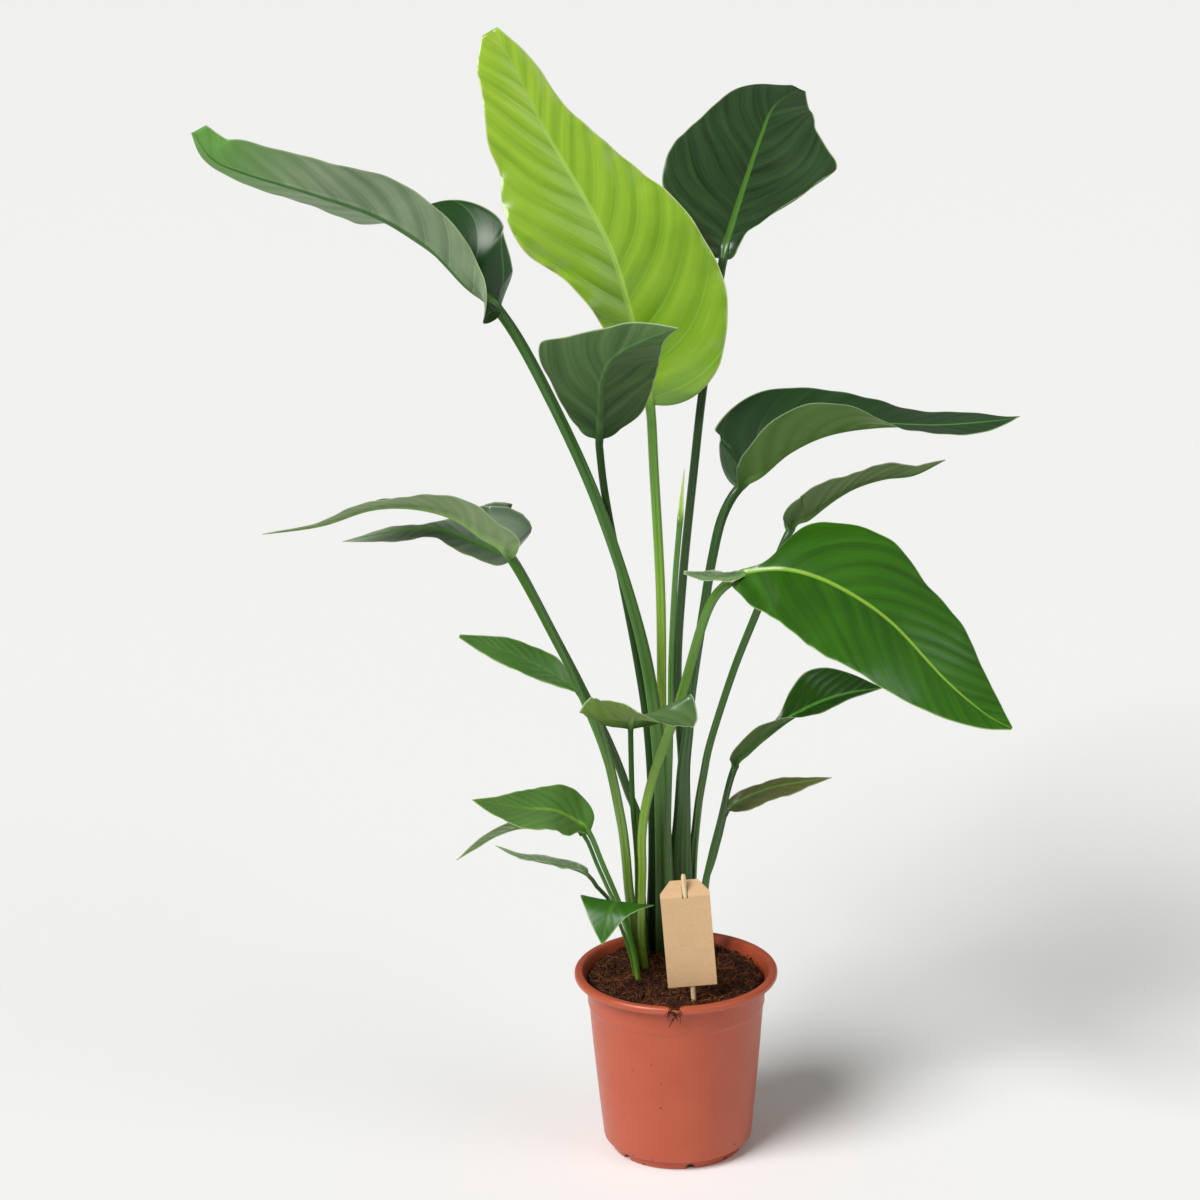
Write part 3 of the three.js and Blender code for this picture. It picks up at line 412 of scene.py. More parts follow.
# Coir, chopped and damp, or combed out into fibres, without any gloss: blotches at random from its
# dark colour to red brown. On the mix and its crumbs the dark end is nearly black, painted shade
# that stands for their hollows. grain is the size of its fine relief in millimetres.
def chopped_coir(name, dark, light, grain):
    made, tree = new_material(name)
    place = add(tree, "ShaderNodeTexCoord", give="Object")
    coarse = add(tree, "ShaderNodeTexNoise", {"Vector": place, "Scale": 1 / (grain * 5 * MM),
                                              "Detail": 4, "Roughness": 0.7}, 0)
    fine = add(tree, "ShaderNodeTexNoise", {"Vector": place, "Scale": 1 / (grain * MM),
                                            "Detail": 3}, 0)
    spread = add(tree, "ShaderNodeMapRange", {"Value": coarse, "From Min": 0.4,
                                              "From Max": 0.66}, "Result")
    colour = add(tree, "ShaderNodeMix", {"Factor": spread, "A": linear(dark), "B": linear(light)},
                 "Result", data_type="RGBA")
    bump = add(tree, "ShaderNodeBump", {"Height": fine, "Strength": 0.8, "Distance": 0.8 * MM},
               "Normal")
    shader = add(tree, "ShaderNodeBsdfPrincipled", {
        "Base Color": colour, "Roughness": 0.9, "Specular IOR Level": 0.25,
        "Normal": bump}, "BSDF")
    add(tree, "ShaderNodeOutputMaterial", {"Surface": shader})
    return made


def fibre_mesh(starts, headings, lengths, thick, rise, bend):
    """Fibres as thin tubes: the centre line runs length t along its heading, bends sideways by
    bend t^2 and lifts by rise sin(pi t); it thins toward its ends."""
    t = np.linspace(0, 1, FIBRE_STATIONS)
    ahead = np.stack([np.cos(headings), np.sin(headings), 0 * headings], -1)[:, None]
    aside = np.stack([-np.sin(headings), np.cos(headings), 0 * headings], -1)[:, None]
    lift = np.array([0, 0, 1.0])
    line = (starts[:, None] + ahead * (lengths[:, None] * t)[..., None]
            + aside * (bend[:, None] * t ** 2)[..., None]
            + lift * (rise[:, None] * np.sin(np.pi * t))[..., None])
    radius = (thick[:, None] * (0.35 + 0.65 * np.sin(np.pi * (0.08 + 0.84 * t))))[..., None, None]
    corner = 2 * np.pi * np.arange(FIBRE_SIDES) / FIBRE_SIDES
    ring = (aside[:, :, None] * np.cos(corner)[:, None] + lift * np.sin(corner)[:, None])
    points = line[:, :, None] + radius * ring
    quads = grid_faces(FIBRE_STATIONS, FIBRE_SIDES, wrap=True)
    offsets = np.arange(len(starts))[:, None, None] * FIBRE_STATIONS * FIBRE_SIDES
    return points, (quads[None] + offsets).reshape(-1, 4)


side_profile = np.array(SOIL_SIDE) - (SOIL_GAP, 0)
inward = np.linspace(side_profile[-1, 0], 0, SOIL_RINGS)[1:]
top_profile = np.stack([inward, np.full(len(inward), SOIL_EDGE_LEVEL)], -1)
profile = np.vstack([[(0, side_profile[0, 1])], side_profile, top_profile])
points, faces = turned(profile, SOIL_TURNS)
on_top = points[:, 2] > SOIL_EDGE_LEVEL - 0.5
edge = np.clip((RIM_REACH - np.hypot(points[:, 0], points[:, 1])) / RIM_WIDTH, 0, 1)
lumpy = mix_top(points[:, 0], points[:, 1])
flat = soil_level(points[:, 0], points[:, 1]) - SOIL_RIM_DROP
points[:, 2] = np.where(on_top, flat + (lumpy - flat) * edge, points[:, 2])
# The mix's near-black blotches are painted shade for its hollows, placed at random.
soil = new_piece("coir_mix", points, faces,
                 chopped_coir("chopped coir and peat, damp, with painted shade", "0F0604", "43200F", 1.6))
face_outwards(soil, 0.001)
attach(soil, "root")
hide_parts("soil")

draw = np.random.default_rng(11)
radius = CRUMB_REACH * np.sqrt(draw.random(CRUMBS))
angle = draw.random(CRUMBS) * 2 * np.pi
x, y = radius * np.cos(angle), radius * np.sin(angle)
# One crumb: five uneven corners round it, one above and one below.
crumb = np.array([(1, 0, 0.1), (0.3, 0.9, -0.1), (-0.8, 0.5, 0.1), (-0.7, -0.6, -0.1),
                  (0.4, -0.9, 0.1), (0.1, 0.1, 0.8), (-0.1, 0, -0.8)])
crumb_faces = np.array([(k, (k + 1) % 5, 5) for k in range(5)]
                       + [((k + 1) % 5, k, 6) for k in range(5)])
sizes = ((CRUMB_SMALLEST + CRUMB_SPREAD * draw.random((CRUMBS, 1)) ** 2)
         * (0.5 + draw.random((CRUMBS, 3))))
places = np.stack([x, y, mix_top(x, y) + 0.2 * sizes[:, 2]], -1)
points, faces = several(crumb, crumb_faces, places, random_turns(CRUMBS, draw), sizes)
# The crumbs' near-black blotches are painted shade as well.
crumbs = new_piece("coir_crumbs", points, faces,
                   chopped_coir("husk crumbs, torn", "1C0D07", "5C301C", 0.9), smooth=False)
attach(crumbs, "root")

radius = FIBRE_REACH * np.sqrt(draw.random(FIBRES))
angle = draw.random(FIBRES) * 2 * np.pi
starts = np.stack([radius * np.cos(angle), radius * np.sin(angle), 0 * radius], -1)
headings = draw.random(FIBRES) * 2 * np.pi
lengths = FIBRE_SHORTEST + FIBRE_LONGER * draw.random(FIBRES) ** 2
thick = FIBRE_THINNEST + FIBRE_THICKER * draw.random(FIBRES) ** 2.5
rise = FIBRE_RISE * draw.random(FIBRES) ** 2.5
bend = FIBRE_BEND * (draw.random(FIBRES) - 0.5)
points, faces = fibre_mesh(starts, headings, lengths, thick, rise, bend)
centre = points.mean(2)
out = np.hypot(centre[..., 0], centre[..., 1])
pull = np.minimum(1, FIBRE_LIMIT / np.maximum(out, 1))[..., None, None]
points[..., :2] *= pull
points[..., 2] += mix_top(points[..., 0], points[..., 1])
fibres = new_piece("coir_fibres", points.reshape(-1, 3), faces,
                   chopped_coir("coconut husk fibre, combed out", "4A1A0A", "B0703F", 2.5))

# The tuft's strands point to the front. Past the lip's edge they bend down, and their reach levels
# off as LIP_HANG (1 - e^(-beyond / LIP_HANG)), so that they cling to the outside of the lip.
starts = np.array(TUFT_PLACE) + draw.normal(size=(TUFT_FIBRES, 3)) * TUFT_SPREAD
headings = (-0.5 + TUFT_FAN * draw.normal(size=TUFT_FIBRES)) * np.pi
lengths = TUFT_SHORTEST + TUFT_LONGER * draw.random(TUFT_FIBRES)
thick = TUFT_THINNEST + TUFT_THICKER * draw.random(TUFT_FIBRES)
rise = TUFT_RISE * draw.random(TUFT_FIBRES)
bend = TUFT_BEND * (draw.random(TUFT_FIBRES) - 0.5)
points, faces = fibre_mesh(starts, headings, lengths, thick, rise, bend)
beyond = np.maximum(LIP_EDGE - points[..., 1], 0)
points[..., 1] += beyond - LIP_HANG * (1 - np.exp(-beyond / LIP_HANG))
points[..., 2] -= TUFT_FALL * beyond
# The tuft is coloured darker than the loose fibres on top: painted shade on strands that the light
# reaches fully over the lip.
tuft = new_piece("coir_tuft", points.reshape(-1, 3), faces,
                 chopped_coir("coconut husk fibre, darkened with painted shade", "241009", "5A2A18", 1.8))
for strands in (fibres, tuft):
    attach(strands, "root")

# ---- Leaves -----------------------------------------------------------------------------------
# Paddle-shaped blades on long stalks, all from one clump. Each blade folds up along its midrib
# and is pleated by the side veins, which leave the midrib toward the tip; the stalk is an oval
# with a shallow channel in front, and widens into a sheath at its foot.
FOOT_TILT = 0.3
BLADE_SKIN = 0.42
MARGIN_SKIN = 0.22
MARGIN_INSET = 0.3
STATION_GRADE = 1.35
SHEATH_SHARE = 0.6
RIB_ONSET = 0.04
RIB_OVER = 0.75
RIB_UNDER = 1.25
RIB_NARROWING = 0.85
RIB_SINK = 12.0
RIB_LEFT = 0.1
EDGE_LEFT = 0.3
BASE_ROUNDING = 0.1
LOBE_FADE = 8.0
WAVE_ONSET = 0.7
VEIN_LEAN = 0.3
VEIN_STEEP_OVER = 0.7
VEIN_STEEP_MOST = 1.4
VEIN_STEEP_PER_SLIMNESS = 0.35
VEIN_RUN = 7.0
VEIN_TURN = 5.0
VEIN_STRAY = 2.2
CURVE_SAMPLES = 2000
TANGENT_REACH = 1e-4
COLUMN_CROWDING = 0.6
SHEATH_FADE = 1.5
CRIMP_RATE = 3.7
VEIN_STRAY_RATE = 3.1
CHANNEL_DEPTH, CHANNEL_HALF = 0.35, 2.2
STALK_CHANNEL_DEPTH, STALK_CHANNEL_HALF = 0.22, 0.4
STATION_STEP = 2.4
STALK_STEP = 9.0
COLUMNS = 24


def keyed(values, share):
    """Values of a uniform Catmull-Rom curve through numbers or points at even steps, at shares
    from 0 to 1; the ends go on straight."""
    values = np.atleast_1d(np.asarray(values, float))
    if len(values) == 1:
        return np.repeat(values, len(share), axis=0)
    last = len(values) - 1
    chain = np.concatenate([[2 * values[0] - values[1]], values, [2 * values[-1] - values[-2]]])
    i = np.clip(np.floor(share * last).astype(int), 0, last - 1)
    f = (share * last - i).reshape(-1, *[1] * (values.ndim - 1))
    a, b, c, d = chain[i], chain[i + 1], chain[i + 2], chain[i + 3]
    return 0.5 * (2 * b + (c - a) * f + (2 * a - 5 * b + 4 * c - d) * f ** 2
                  + (3 * b - a - 3 * c + d) * f ** 3)


def shares_along(curve, start, end, ways):
    """Shares of the curve that lie the given ways, by length, between its shares start and end;
    also the length between them."""
    shares = np.linspace(start, end, CURVE_SAMPLES)
    steps = np.linalg.norm(np.diff(keyed(curve, shares), axis=0), axis=1)
    length = np.concatenate([[0], np.cumsum(steps)])
    return np.interp(ways * length[-1], length, shares), length[-1]


def unit(vectors):
    """Each vector over its own length."""
    return vectors / np.linalg.norm(vectors, axis=-1, keepdims=True)


def leaf_surface(leaf):
    """A closed skin over a curve that runs up the stalk and along the midrib. Across each station
    the half-width w bends by its curl c from its rise r: out = w/c (sin(r + c q) - sin r) and
    lift = w/c (cos r - cos(r + c q)) for q from 0 at the midrib to 1 at the margin. Waves of the
    margin, pleats between the side veins and the midrib's keel are added along the normal. Also
    returns the marks, which tell the material where on the leaf each point is."""
    curve = np.array(leaf["stalk"] + leaf["blade"], float)
    joint = (len(leaf["stalk"]) - 1) / (len(curve) - 1)
    stalk_count = int(np.linalg.norm(np.diff(curve[:len(leaf["stalk"])], axis=0), axis=1).sum()
                      / STALK_STEP)
    blade_count = int(np.linalg.norm(np.diff(curve[len(leaf["stalk"]) - 1:], axis=0),
                                     axis=1).sum() / STATION_STEP)
    stalk_way = np.linspace(0, 1, stalk_count, endpoint=False)
    blade_way = np.linspace(0, 1, blade_count) ** STATION_GRADE
    stalk_share, stalk_length = shares_along(curve, 0, joint, stalk_way)
    blade_share, blade_length = shares_along(curve, joint, 1, blade_way)
    share = np.concatenate([stalk_share, blade_share])
    on_blade = np.arange(len(share)) >= stalk_count
    way = np.concatenate([stalk_way, blade_way])
    u = np.where(on_blade, way, 0.0)

    point = keyed(curve, share)
    along = unit(keyed(curve, np.minimum(share + TANGENT_REACH, 1))
                 - keyed(curve, np.maximum(share - TANGENT_REACH, 0)))
    faces = np.array(leaf["faces"], float)
    foot = np.array([0, 1 if faces[0, 1] > 0 else -1, FOOT_TILT])
    facing = np.where(on_blade[:, None], keyed(faces, u),
                      foot * (1 - way[:, None]) + faces[0] * way[:, None])
    up = unit(facing - (facing * along).sum(1, keepdims=True) * along)
    side = np.cross(along, up)

    column = np.linspace(-1, 1, 2 * COLUMNS + 1)
    sign = np.where(column < 0, -1.0, 1.0)[None]
    half = np.where(column < 0, 0, 1)[None]
    opened = np.where(on_blade, np.minimum(u / RIB_ONSET, 1), 0)[:, None]
    q = np.abs(column)[None] ** (1 + COLUMN_CROWDING * opened)
    sheath = np.where(on_blade, 0, np.maximum(1 - way / SHEATH_SHARE, 0) ** SHEATH_FADE)[:, None]
    stalk_wide = leaf["stalk_half"][0] + (leaf["sheath_half"][0] - leaf["stalk_half"][0]) * sheath
    stalk_deep = leaf["stalk_half"][1] + (leaf["sheath_half"][1] - leaf["stalk_half"][1]) * sheath
    rounding = np.sqrt(1 - (1 - np.minimum(u / BASE_ROUNDING, 1)) ** 2)[:, None]
    left = (1 - u)[:, None]

    def of_half(name):
        """The leaf's value called name at each station, from its own list for each half."""
        both = [keyed(values, u)[:, None] for values in leaf[name]]
        return np.where(half == 0, both[0], both[1])

    widest = np.where(half == 0, max(leaf["half_width"][0]), max(leaf["half_width"][1]))
    blade_wide = (np.maximum(of_half("half_width"), 0) * rounding
                  + leaf["stalk_half"][0] * left + EDGE_LEFT)
    wide = np.where(on_blade[:, None], blade_wide, stalk_wide) - MARGIN_INSET
    rise = np.radians(of_half("rise")) * opened
    curl = np.radians(of_half("curl")) * opened + 1e-6
    height, count, *starts = leaf["wave"]
    start = np.where(half == 0, starts[0], starts[1])
    swell = np.where(on_blade, np.sin(np.pi * u ** WAVE_ONSET), 0)[:, None]
    wave = height * swell * q ** 2 * np.sin(2 * np.pi * (count * u[:, None] + start))
    crimps = 2 * np.pi * (CRIMP_RATE * count * u[:, None] - start)
    wave += leaf["crimp"] * swell * q ** 6 * np.sin(crimps)
    steeper = np.minimum(VEIN_STEEP_MOST, VEIN_STEEP_PER_SLIMNESS * blade_length / widest)
    lean = VEIN_LEAN + steeper * np.minimum(u[:, None] / VEIN_STEEP_OVER, 1)
    vein = (u[:, None] * blade_length - lean * wide * q ** 1.2
            - VEIN_RUN * (1 - np.exp(-q * wide / VEIN_TURN))
            + VEIN_STRAY * np.sin(2 * np.pi * (VEIN_STRAY_RATE * u[:, None] + start)))
    pleats = (leaf["pleat"] * swell * np.sin(np.pi * np.minimum(q * 1.1, 1)) ** 0.7
              * (np.abs(np.sin(np.pi * vein / leaf["pleat_spacing"])) - 0.6))
    wave += pleats
    angle = rise + curl * q
    out = wide / curl * (np.sin(angle) - np.sin(rise)) - wave * np.sin(angle)
    lift = wide / curl * (np.cos(rise) - np.cos(angle)) + wave * np.cos(angle)
    lobe = np.where(half == 0, leaf["lobe"][0], leaf["lobe"][1])
    back = np.where(on_blade[:, None],
                    lobe * np.minimum(q * wide / widest, 1) ** 1.2 * left ** LOBE_FADE, 0)

    rib_half = np.where(on_blade[:, None],
                        leaf["stalk_half"][0] * (1 - RIB_NARROWING * u[:, None]), wide)
    bulge = np.sqrt(1 - np.minimum(q * wide / rib_half, 1) ** 2)
    rib_over = np.where(on_blade[:, None], leaf["stalk_half"][1] * RIB_OVER
                        * np.maximum(1 - u[:, None] * RIB_SINK, 0), stalk_deep * RIB_OVER)
    rib_under = np.where(on_blade[:, None],
                         leaf["stalk_half"][1] * RIB_UNDER * left ** 0.8 + RIB_LEFT,
                         stalk_deep * RIB_UNDER)
    channel = np.where(on_blade[:, None],
                       CHANNEL_DEPTH * left * np.exp(-(q * wide / CHANNEL_HALF) ** 2),
                       STALK_CHANNEL_DEPTH * stalk_deep * np.exp(-(q / STALK_CHANNEL_HALF) ** 2))
    skin = BLADE_SKIN + (MARGIN_SKIN - BLADE_SKIN) * q ** 6
    middle = (point[:, None] + side[:, None] * (sign * out)[..., None]
              + up[:, None] * lift[..., None] - along[:, None] * back[..., None])
    normal = (-side[:, None] * (sign * np.sin(angle))[..., None]
              + up[:, None] * np.cos(angle)[..., None])
    over = middle + normal * (skin + rib_over * bulge - channel)[..., None]
    under = middle - normal * (skin + rib_under * bulge)[..., None]
    outward = (side[:, None] * (sign * np.cos(angle))[..., None]
               + up[:, None] * np.sin(angle)[..., None])
    edge = middle + outward * MARGIN_INSET * 0.8
    points = np.concatenate([over, edge[:, -1:], under[:, ::-1], edge[:, :1]], 1)

    def around(above, below):
        """One value for each point of the skin: above on its upper face, below on its lower."""
        above = np.broadcast_to(above, over.shape[:2])
        below = np.broadcast_to(below, over.shape[:2])
        return np.concatenate([above, above[:, -1:], below[:, ::-1], below[:, :1]], 1)

    distance = np.where(on_blade, way * blade_length, (way - 1) * stalk_length)[:, None]
    both_faces = {"across": q * wide * sign * MM, "along": (distance - back) * MM,
                  "margin": (wide - q * wide) * MM, "vein": vein * MM,
                  "stalk": np.where(on_blade, 0, 1 - way)[:, None], "tip": u[:, None]}
    marks = {mark: around(values, values) for mark, values in both_faces.items()}
    marks["over"] = around(1.0, 0.0)
    return points, marks


def leaf_piece(name, leaf, material):
    """The leaf's closed mesh, its marks as attributes, and a flat end at the foot and the tip."""
    points, marks = leaf_surface(leaf)
    rows, columns = points.shape[:2]
    faces = grid_faces(rows, columns, wrap=True).tolist()
    faces.append(list(range(columns)))
    faces.append(list(range(rows * columns - 1, (rows - 1) * columns - 1, -1)))
    piece = new_piece(name, points.reshape(-1, 3), faces, material)
    for mark, values in marks.items():
        layer = piece.data.attributes.new(mark, "FLOAT", "POINT")
        layer.data.foreach_set("value", np.ascontiguousarray(values.reshape(-1), np.float32))
    face_outwards(piece)
    return piece


# Living leaf, as grown: the upper face has a waxy gloss over deep green, the under face is paler
# and matt. Its flesh swells between the side veins, with painted shading across each swell and
# finer streaks along the veins. The midrib is yellow green and a pale thread runs along the
# margin.
# The stalk is satin, and its colour turns toward its foot.
def living_leaf(name, look, spacing):
    made, tree = new_material(name)
    across, along, margin, vein, over, stalk, tip = [
        add(tree, "ShaderNodeAttribute", give="Fac", attribute_name=key)
        for key in ("across", "along", "margin", "vein", "over", "stalk", "tip")]
    place = add(tree, "ShaderNodeTexCoord", give="Object")
    cloud = add(tree, "ShaderNodeTexNoise", {"Vector": place, "Scale": 1 / (70 * MM),
                                             "Detail": 2}, 0)
    side_way = add(tree, "ShaderNodeMath", {0: across, 1: 0.12}, 0, operation="MULTIPLY")
    streaks = add(tree, "ShaderNodeCombineXYZ", {"X": vein, "Y": side_way}, 0)
    streaks = add(tree, "ShaderNodeTexNoise", {"Vector": streaks, "Scale": 1 / (11 * MM),
                                               "Detail": 4, "Roughness": 0.62}, 0)
    streaks = add(tree, "ShaderNodeMapRange", {"Value": streaks, "From Min": 0.3,
                                               "From Max": 0.7}, "Result")

    # Painted shading of the flesh between two side veins: crest is 0 at a vein and 1 half way,
    # ahead grows from vein to vein, and their product paints each panel lighter toward the tip and
    # darker by the vein behind it. This stands for the light and shade on the swell.
    turn = add(tree, "ShaderNodeMath", {0: vein, 1: np.pi / (spacing * MM)}, 0,
               operation="MULTIPLY")
    crest = add(tree, "ShaderNodeMath", {0: turn}, 0, operation="SINE")
    crest = add(tree, "ShaderNodeMath", {0: crest}, 0, operation="ABSOLUTE")
    ahead = add(tree, "ShaderNodeMath", {0: vein, 1: 1 / (spacing * MM)}, 0,
                operation="MULTIPLY")
    ahead = add(tree, "ShaderNodeMath", {0: ahead}, 0, operation="FRACT")
    light = add(tree, "ShaderNodeMath", {0: crest, 1: ahead}, 0, operation="MULTIPLY")
    light = add(tree, "ShaderNodeMath", {0: light, 1: look["quilt"], 2: look["pale"]}, 0,
                operation="MULTIPLY_ADD")
    light = add(tree, "ShaderNodeMath", {0: cloud, 1: 0.4, 2: light}, 0,
                operation="MULTIPLY_ADD")
    light = add(tree, "ShaderNodeMath", {0: tip, 1: look["tip_light"], 2: light}, 0,
                operation="MULTIPLY_ADD")
    light = add(tree, "ShaderNodeMath", {0: streaks, 1: look["streaks"], 2: light}, 0,
                operation="MULTIPLY_ADD", use_clamp=True)
    line = add(tree, "ShaderNodeMapRange", {"Value": crest, "From Min": 0.12, "From Max": 0.0,
                                            "To Max": look["lines"]}, "Result",
               interpolation_type="SMOOTHSTEP")
    upper = add(tree, "ShaderNodeMix", {"Factor": light, "A": linear(look["upper"]),
                                        "B": linear(look["upper_light"])}, "Result",
                data_type="RGBA")
    upper = add(tree, "ShaderNodeMix", {"Factor": line, "A": upper, "B": linear(look["rib"])},
                "Result", data_type="RGBA")
    under = add(tree, "ShaderNodeMix", {"Factor": light, "A": linear(look["under"]),
                                        "B": linear(look["under_light"])}, "Result",
                data_type="RGBA")
    under = add(tree, "ShaderNodeMix", {"Factor": line, "A": under,
                                        "B": linear(look["under_light"])}, "Result",
                data_type="RGBA")
    face = add(tree, "ShaderNodeMix", {"Factor": over, "A": under, "B": upper}, "Result",
               data_type="RGBA")

    toward_tip = add(tree, "ShaderNodeMapRange", {"Value": tip, "From Min": 0.6, "From Max": 0.95,
                                                  "To Max": look["tip_tint"][1]}, "Result",
                     interpolation_type="SMOOTHSTEP")
    face = add(tree, "ShaderNodeMix", {"Factor": toward_tip, "A": face,
                                       "B": linear(look["tip_tint"][0])}, "Result",
               data_type="RGBA")

    # Midrib above, keel below: as wide as the stalk at the base, a quarter of that at the tip.
    distance = add(tree, "ShaderNodeMath", {0: across}, 0, operation="ABSOLUTE")
    half = add(tree, "ShaderNodeMath", {0: tip, 1: -0.75 * look["rib_half"] * MM,
                                        2: look["rib_half"] * MM}, 0, operation="MULTIPLY_ADD")
    on_rib = add(tree, "ShaderNodeMath", {0: distance, 1: half}, 0, operation="DIVIDE")
    shown = add(tree, "ShaderNodeMapRange", {"Value": over, "To Min": look["keel_show"],
                                             "To Max": look["rib_show"]}, "Result")
    fading = add(tree, "ShaderNodeMapRange", {"Value": tip, "From Min": look["rib_end"] - 0.2,
                                              "From Max": look["rib_end"], "To Min": 1,
                                              "To Max": 0.2}, "Result")
    shown = add(tree, "ShaderNodeMath", {0: shown, 1: fading}, 0, operation="MULTIPLY")
    on_rib = add(tree, "ShaderNodeMapRange", {"Value": on_rib, "From Min": 1.15, "From Max": 0.6,
                                              "To Max": shown}, "Result",
                 interpolation_type="SMOOTHSTEP")
    rib = add(tree, "ShaderNodeMix", {"Factor": over, "A": linear(look["keel"]),
                                      "B": linear(look["rib"])}, "Result", data_type="RGBA")
    face = add(tree, "ShaderNodeMix", {"Factor": on_rib, "A": face, "B": rib}, "Result",
               data_type="RGBA")

    # Margin: a pale thread, and brown spots near it on the older leaves.
    thread = add(tree, "ShaderNodeMapRange", {"Value": margin, "From Min": 1.4 * MM,
                                              "From Max": 0.4 * MM, "To Max": 0.7}, "Result")
    face = add(tree, "ShaderNodeMix", {"Factor": thread, "A": face, "B": linear(look["rim"])},
               "Result", data_type="RGBA")
    spot = add(tree, "ShaderNodeTexNoise", {"Vector": place, "Scale": 1 / (9 * MM),
                                            "Detail": 2}, 0)
    near = add(tree, "ShaderNodeMapRange", {"Value": margin, "From Min": 6 * MM, "From Max": 0.0,
                                            "To Max": 0.2}, "Result")
    spot = add(tree, "ShaderNodeMath", {0: spot, 1: near}, 0, operation="ADD")
    spot = add(tree, "ShaderNodeMapRange", {"Value": spot, "From Min": 0.82, "From Max": 0.86,
                                            "To Max": look["spots"]}, "Result")
    face = add(tree, "ShaderNodeMix", {"Factor": spot, "A": face, "B": linear("5E3F20")},
               "Result", data_type="RGBA")

    # Stalk: drawn lines along it, paler toward the foot, and a brown dry edge where it sheathes
    # the next one. Painted shade darkens its lowest part, where the stalks crowd together at the
    # mix.
    lower = add(tree, "ShaderNodeMapRange", {"Value": stalk, "From Min": look["turn"][0],
                                             "From Max": look["turn"][1]}, "Result",
                interpolation_type="SMOOTHSTEP")
    stem = add(tree, "ShaderNodeMix", {"Factor": lower, "A": linear(look["stalk"]),
                                       "B": linear(look["stalk_low"])}, "Result",
               data_type="RGBA")
    drawn = add(tree, "ShaderNodeTexNoise", {"W": across, "Scale": 1 / (1.1 * MM), "Detail": 2}, 0,
                noise_dimensions="1D")
    drawn = add(tree, "ShaderNodeMapRange", {"Value": drawn, "From Min": 0.35, "From Max": 0.7,
                                             "To Max": 0.22}, "Result")
    stem = add(tree, "ShaderNodeMix", {"Factor": drawn, "A": stem, "B": linear(look["upper"])},
               "Result", data_type="RGBA")
    edge = add(tree, "ShaderNodeMapRange", {"Value": across, "From Min": 2.4 * MM,
                                            "From Max": 4.2 * MM, "To Max": look["sheath_rim"]},
               "Result")
    edge = add(tree, "ShaderNodeMath", {0: edge, 1: lower}, 0, operation="MULTIPLY")
    stem = add(tree, "ShaderNodeMix", {"Factor": edge, "A": stem, "B": linear("6E4A22")},
               "Result", data_type="RGBA")
    # Painted shade: the lowest part of the stalk darkens toward the mix.
    foot_shade = add(tree, "ShaderNodeMapRange", {"Value": stalk, "From Min": 0.7, "From Max": 0.93,
                                           "To Max": look["painted_foot_shade"]}, "Result")
    stem = add(tree, "ShaderNodeMix", {"Factor": foot_shade, "A": stem, "B": linear("17240C")},
               "Result", data_type="RGBA")

    on_stem = add(tree, "ShaderNodeMapRange", {"Value": along, "From Min": 12 * MM,
                                               "From Max": -4 * MM}, "Result")
    colour = add(tree, "ShaderNodeMix", {"Factor": on_stem, "A": face, "B": stem}, "Result",
                 data_type="RGBA")
    gloss = add(tree, "ShaderNodeMapRange", {"Value": over, "To Min": 0.5,
                                             "To Max": look["gloss"]}, "Result")
    gloss = add(tree, "ShaderNodeMath", {0: cloud, 1: 0.08, 2: gloss}, 0,
                operation="MULTIPLY_ADD")
    wax = add(tree, "ShaderNodeMapRange", {"Value": over, "To Min": 0.15, "To Max": 0.65},
              "Result")
    relief = add(tree, "ShaderNodeMath", {0: streaks, 1: 0.5, 2: crest}, 0,
                 operation="MULTIPLY_ADD")
    on_face = add(tree, "ShaderNodeMath", {0: 1.0, 1: on_stem}, 0, operation="SUBTRACT")
    relief = add(tree, "ShaderNodeMath", {0: relief, 1: on_face}, 0, operation="MULTIPLY")
    bump = add(tree, "ShaderNodeBump", {"Height": relief, "Strength": 0.7,
                                        "Distance": look["swell"] * MM}, "Normal")
    shader = add(tree, "ShaderNodeBsdfPrincipled", {
        "Base Color": colour, "Roughness": gloss, "Specular IOR Level": wax,
        "Normal": bump}, "BSDF")
    add(tree, "ShaderNodeOutputMaterial", {"Surface": shader})
    return made


# How each kind of leaf looks: colours of the upper and the under face, the midrib above, the keel
# below, the margin and the stalk. USUAL is what a leaf has unless its own look says otherwise:
# the midrib's half-width, how far it and the keel show and where along the blade it ends; how
# much the painted shading of the flesh between veins, the streaks, the tip and a plain shift
# (pale) lighten the face; the tint toward the tip and its share; the vein lines; the swelling in
# millimetres; brown spots; the brown edge of the sheath; where down the stalk its lower colour
# begins and is full; the painted shade at the stalk's foot; and the roughness of the upper face.
LOOKS = {
    "dark": dict(upper="123208", upper_light="2A5A24", under="44632F", under_light="7D9A66",
                 rib="5C9A34", keel="3C6A26", rim="A9B98A", stalk="30541C", stalk_low="456E22"),
    "lime": dict(upper="6C9F1C", upper_light="A3CC50", under="8FB84E", under_light="A9C873",
                 rib="A4CB55", keel="8DB64A", rim="D2DF9A", stalk="76A02A", stalk_low="98B835"),
    "green": dict(upper="1F5A0D", upper_light="3F8622", under="5A7F3C", under_light="8AA869",
                  rib="8FBE3A", keel="5F8F35", rim="A9C47A", stalk="4C8A2A",
                  stalk_low="84AD3A"),
    "olive": dict(upper="2A5220", upper_light="4E7A42", under="4F6F34", under_light="86A070",
                  rib="6A9A45", keel="4C7A34", rim="B4C29A", stalk="345A1F",
                  stalk_low="5E8A30"),
}
USUAL = dict(rib_half=4.0, rib_show=0.85, rib_end=1.05, keel_show=0.5, quilt=0.4, pale=-0.05,
             streaks=0.35, tip_light=0.1, tip_tint=("4C7A34", 0.0), lines=0.12, swell=0.4,
             spots=0.0, sheath_rim=0.0, turn=(0.1, 0.85), painted_foot_shade=0.75, gloss=0.24)

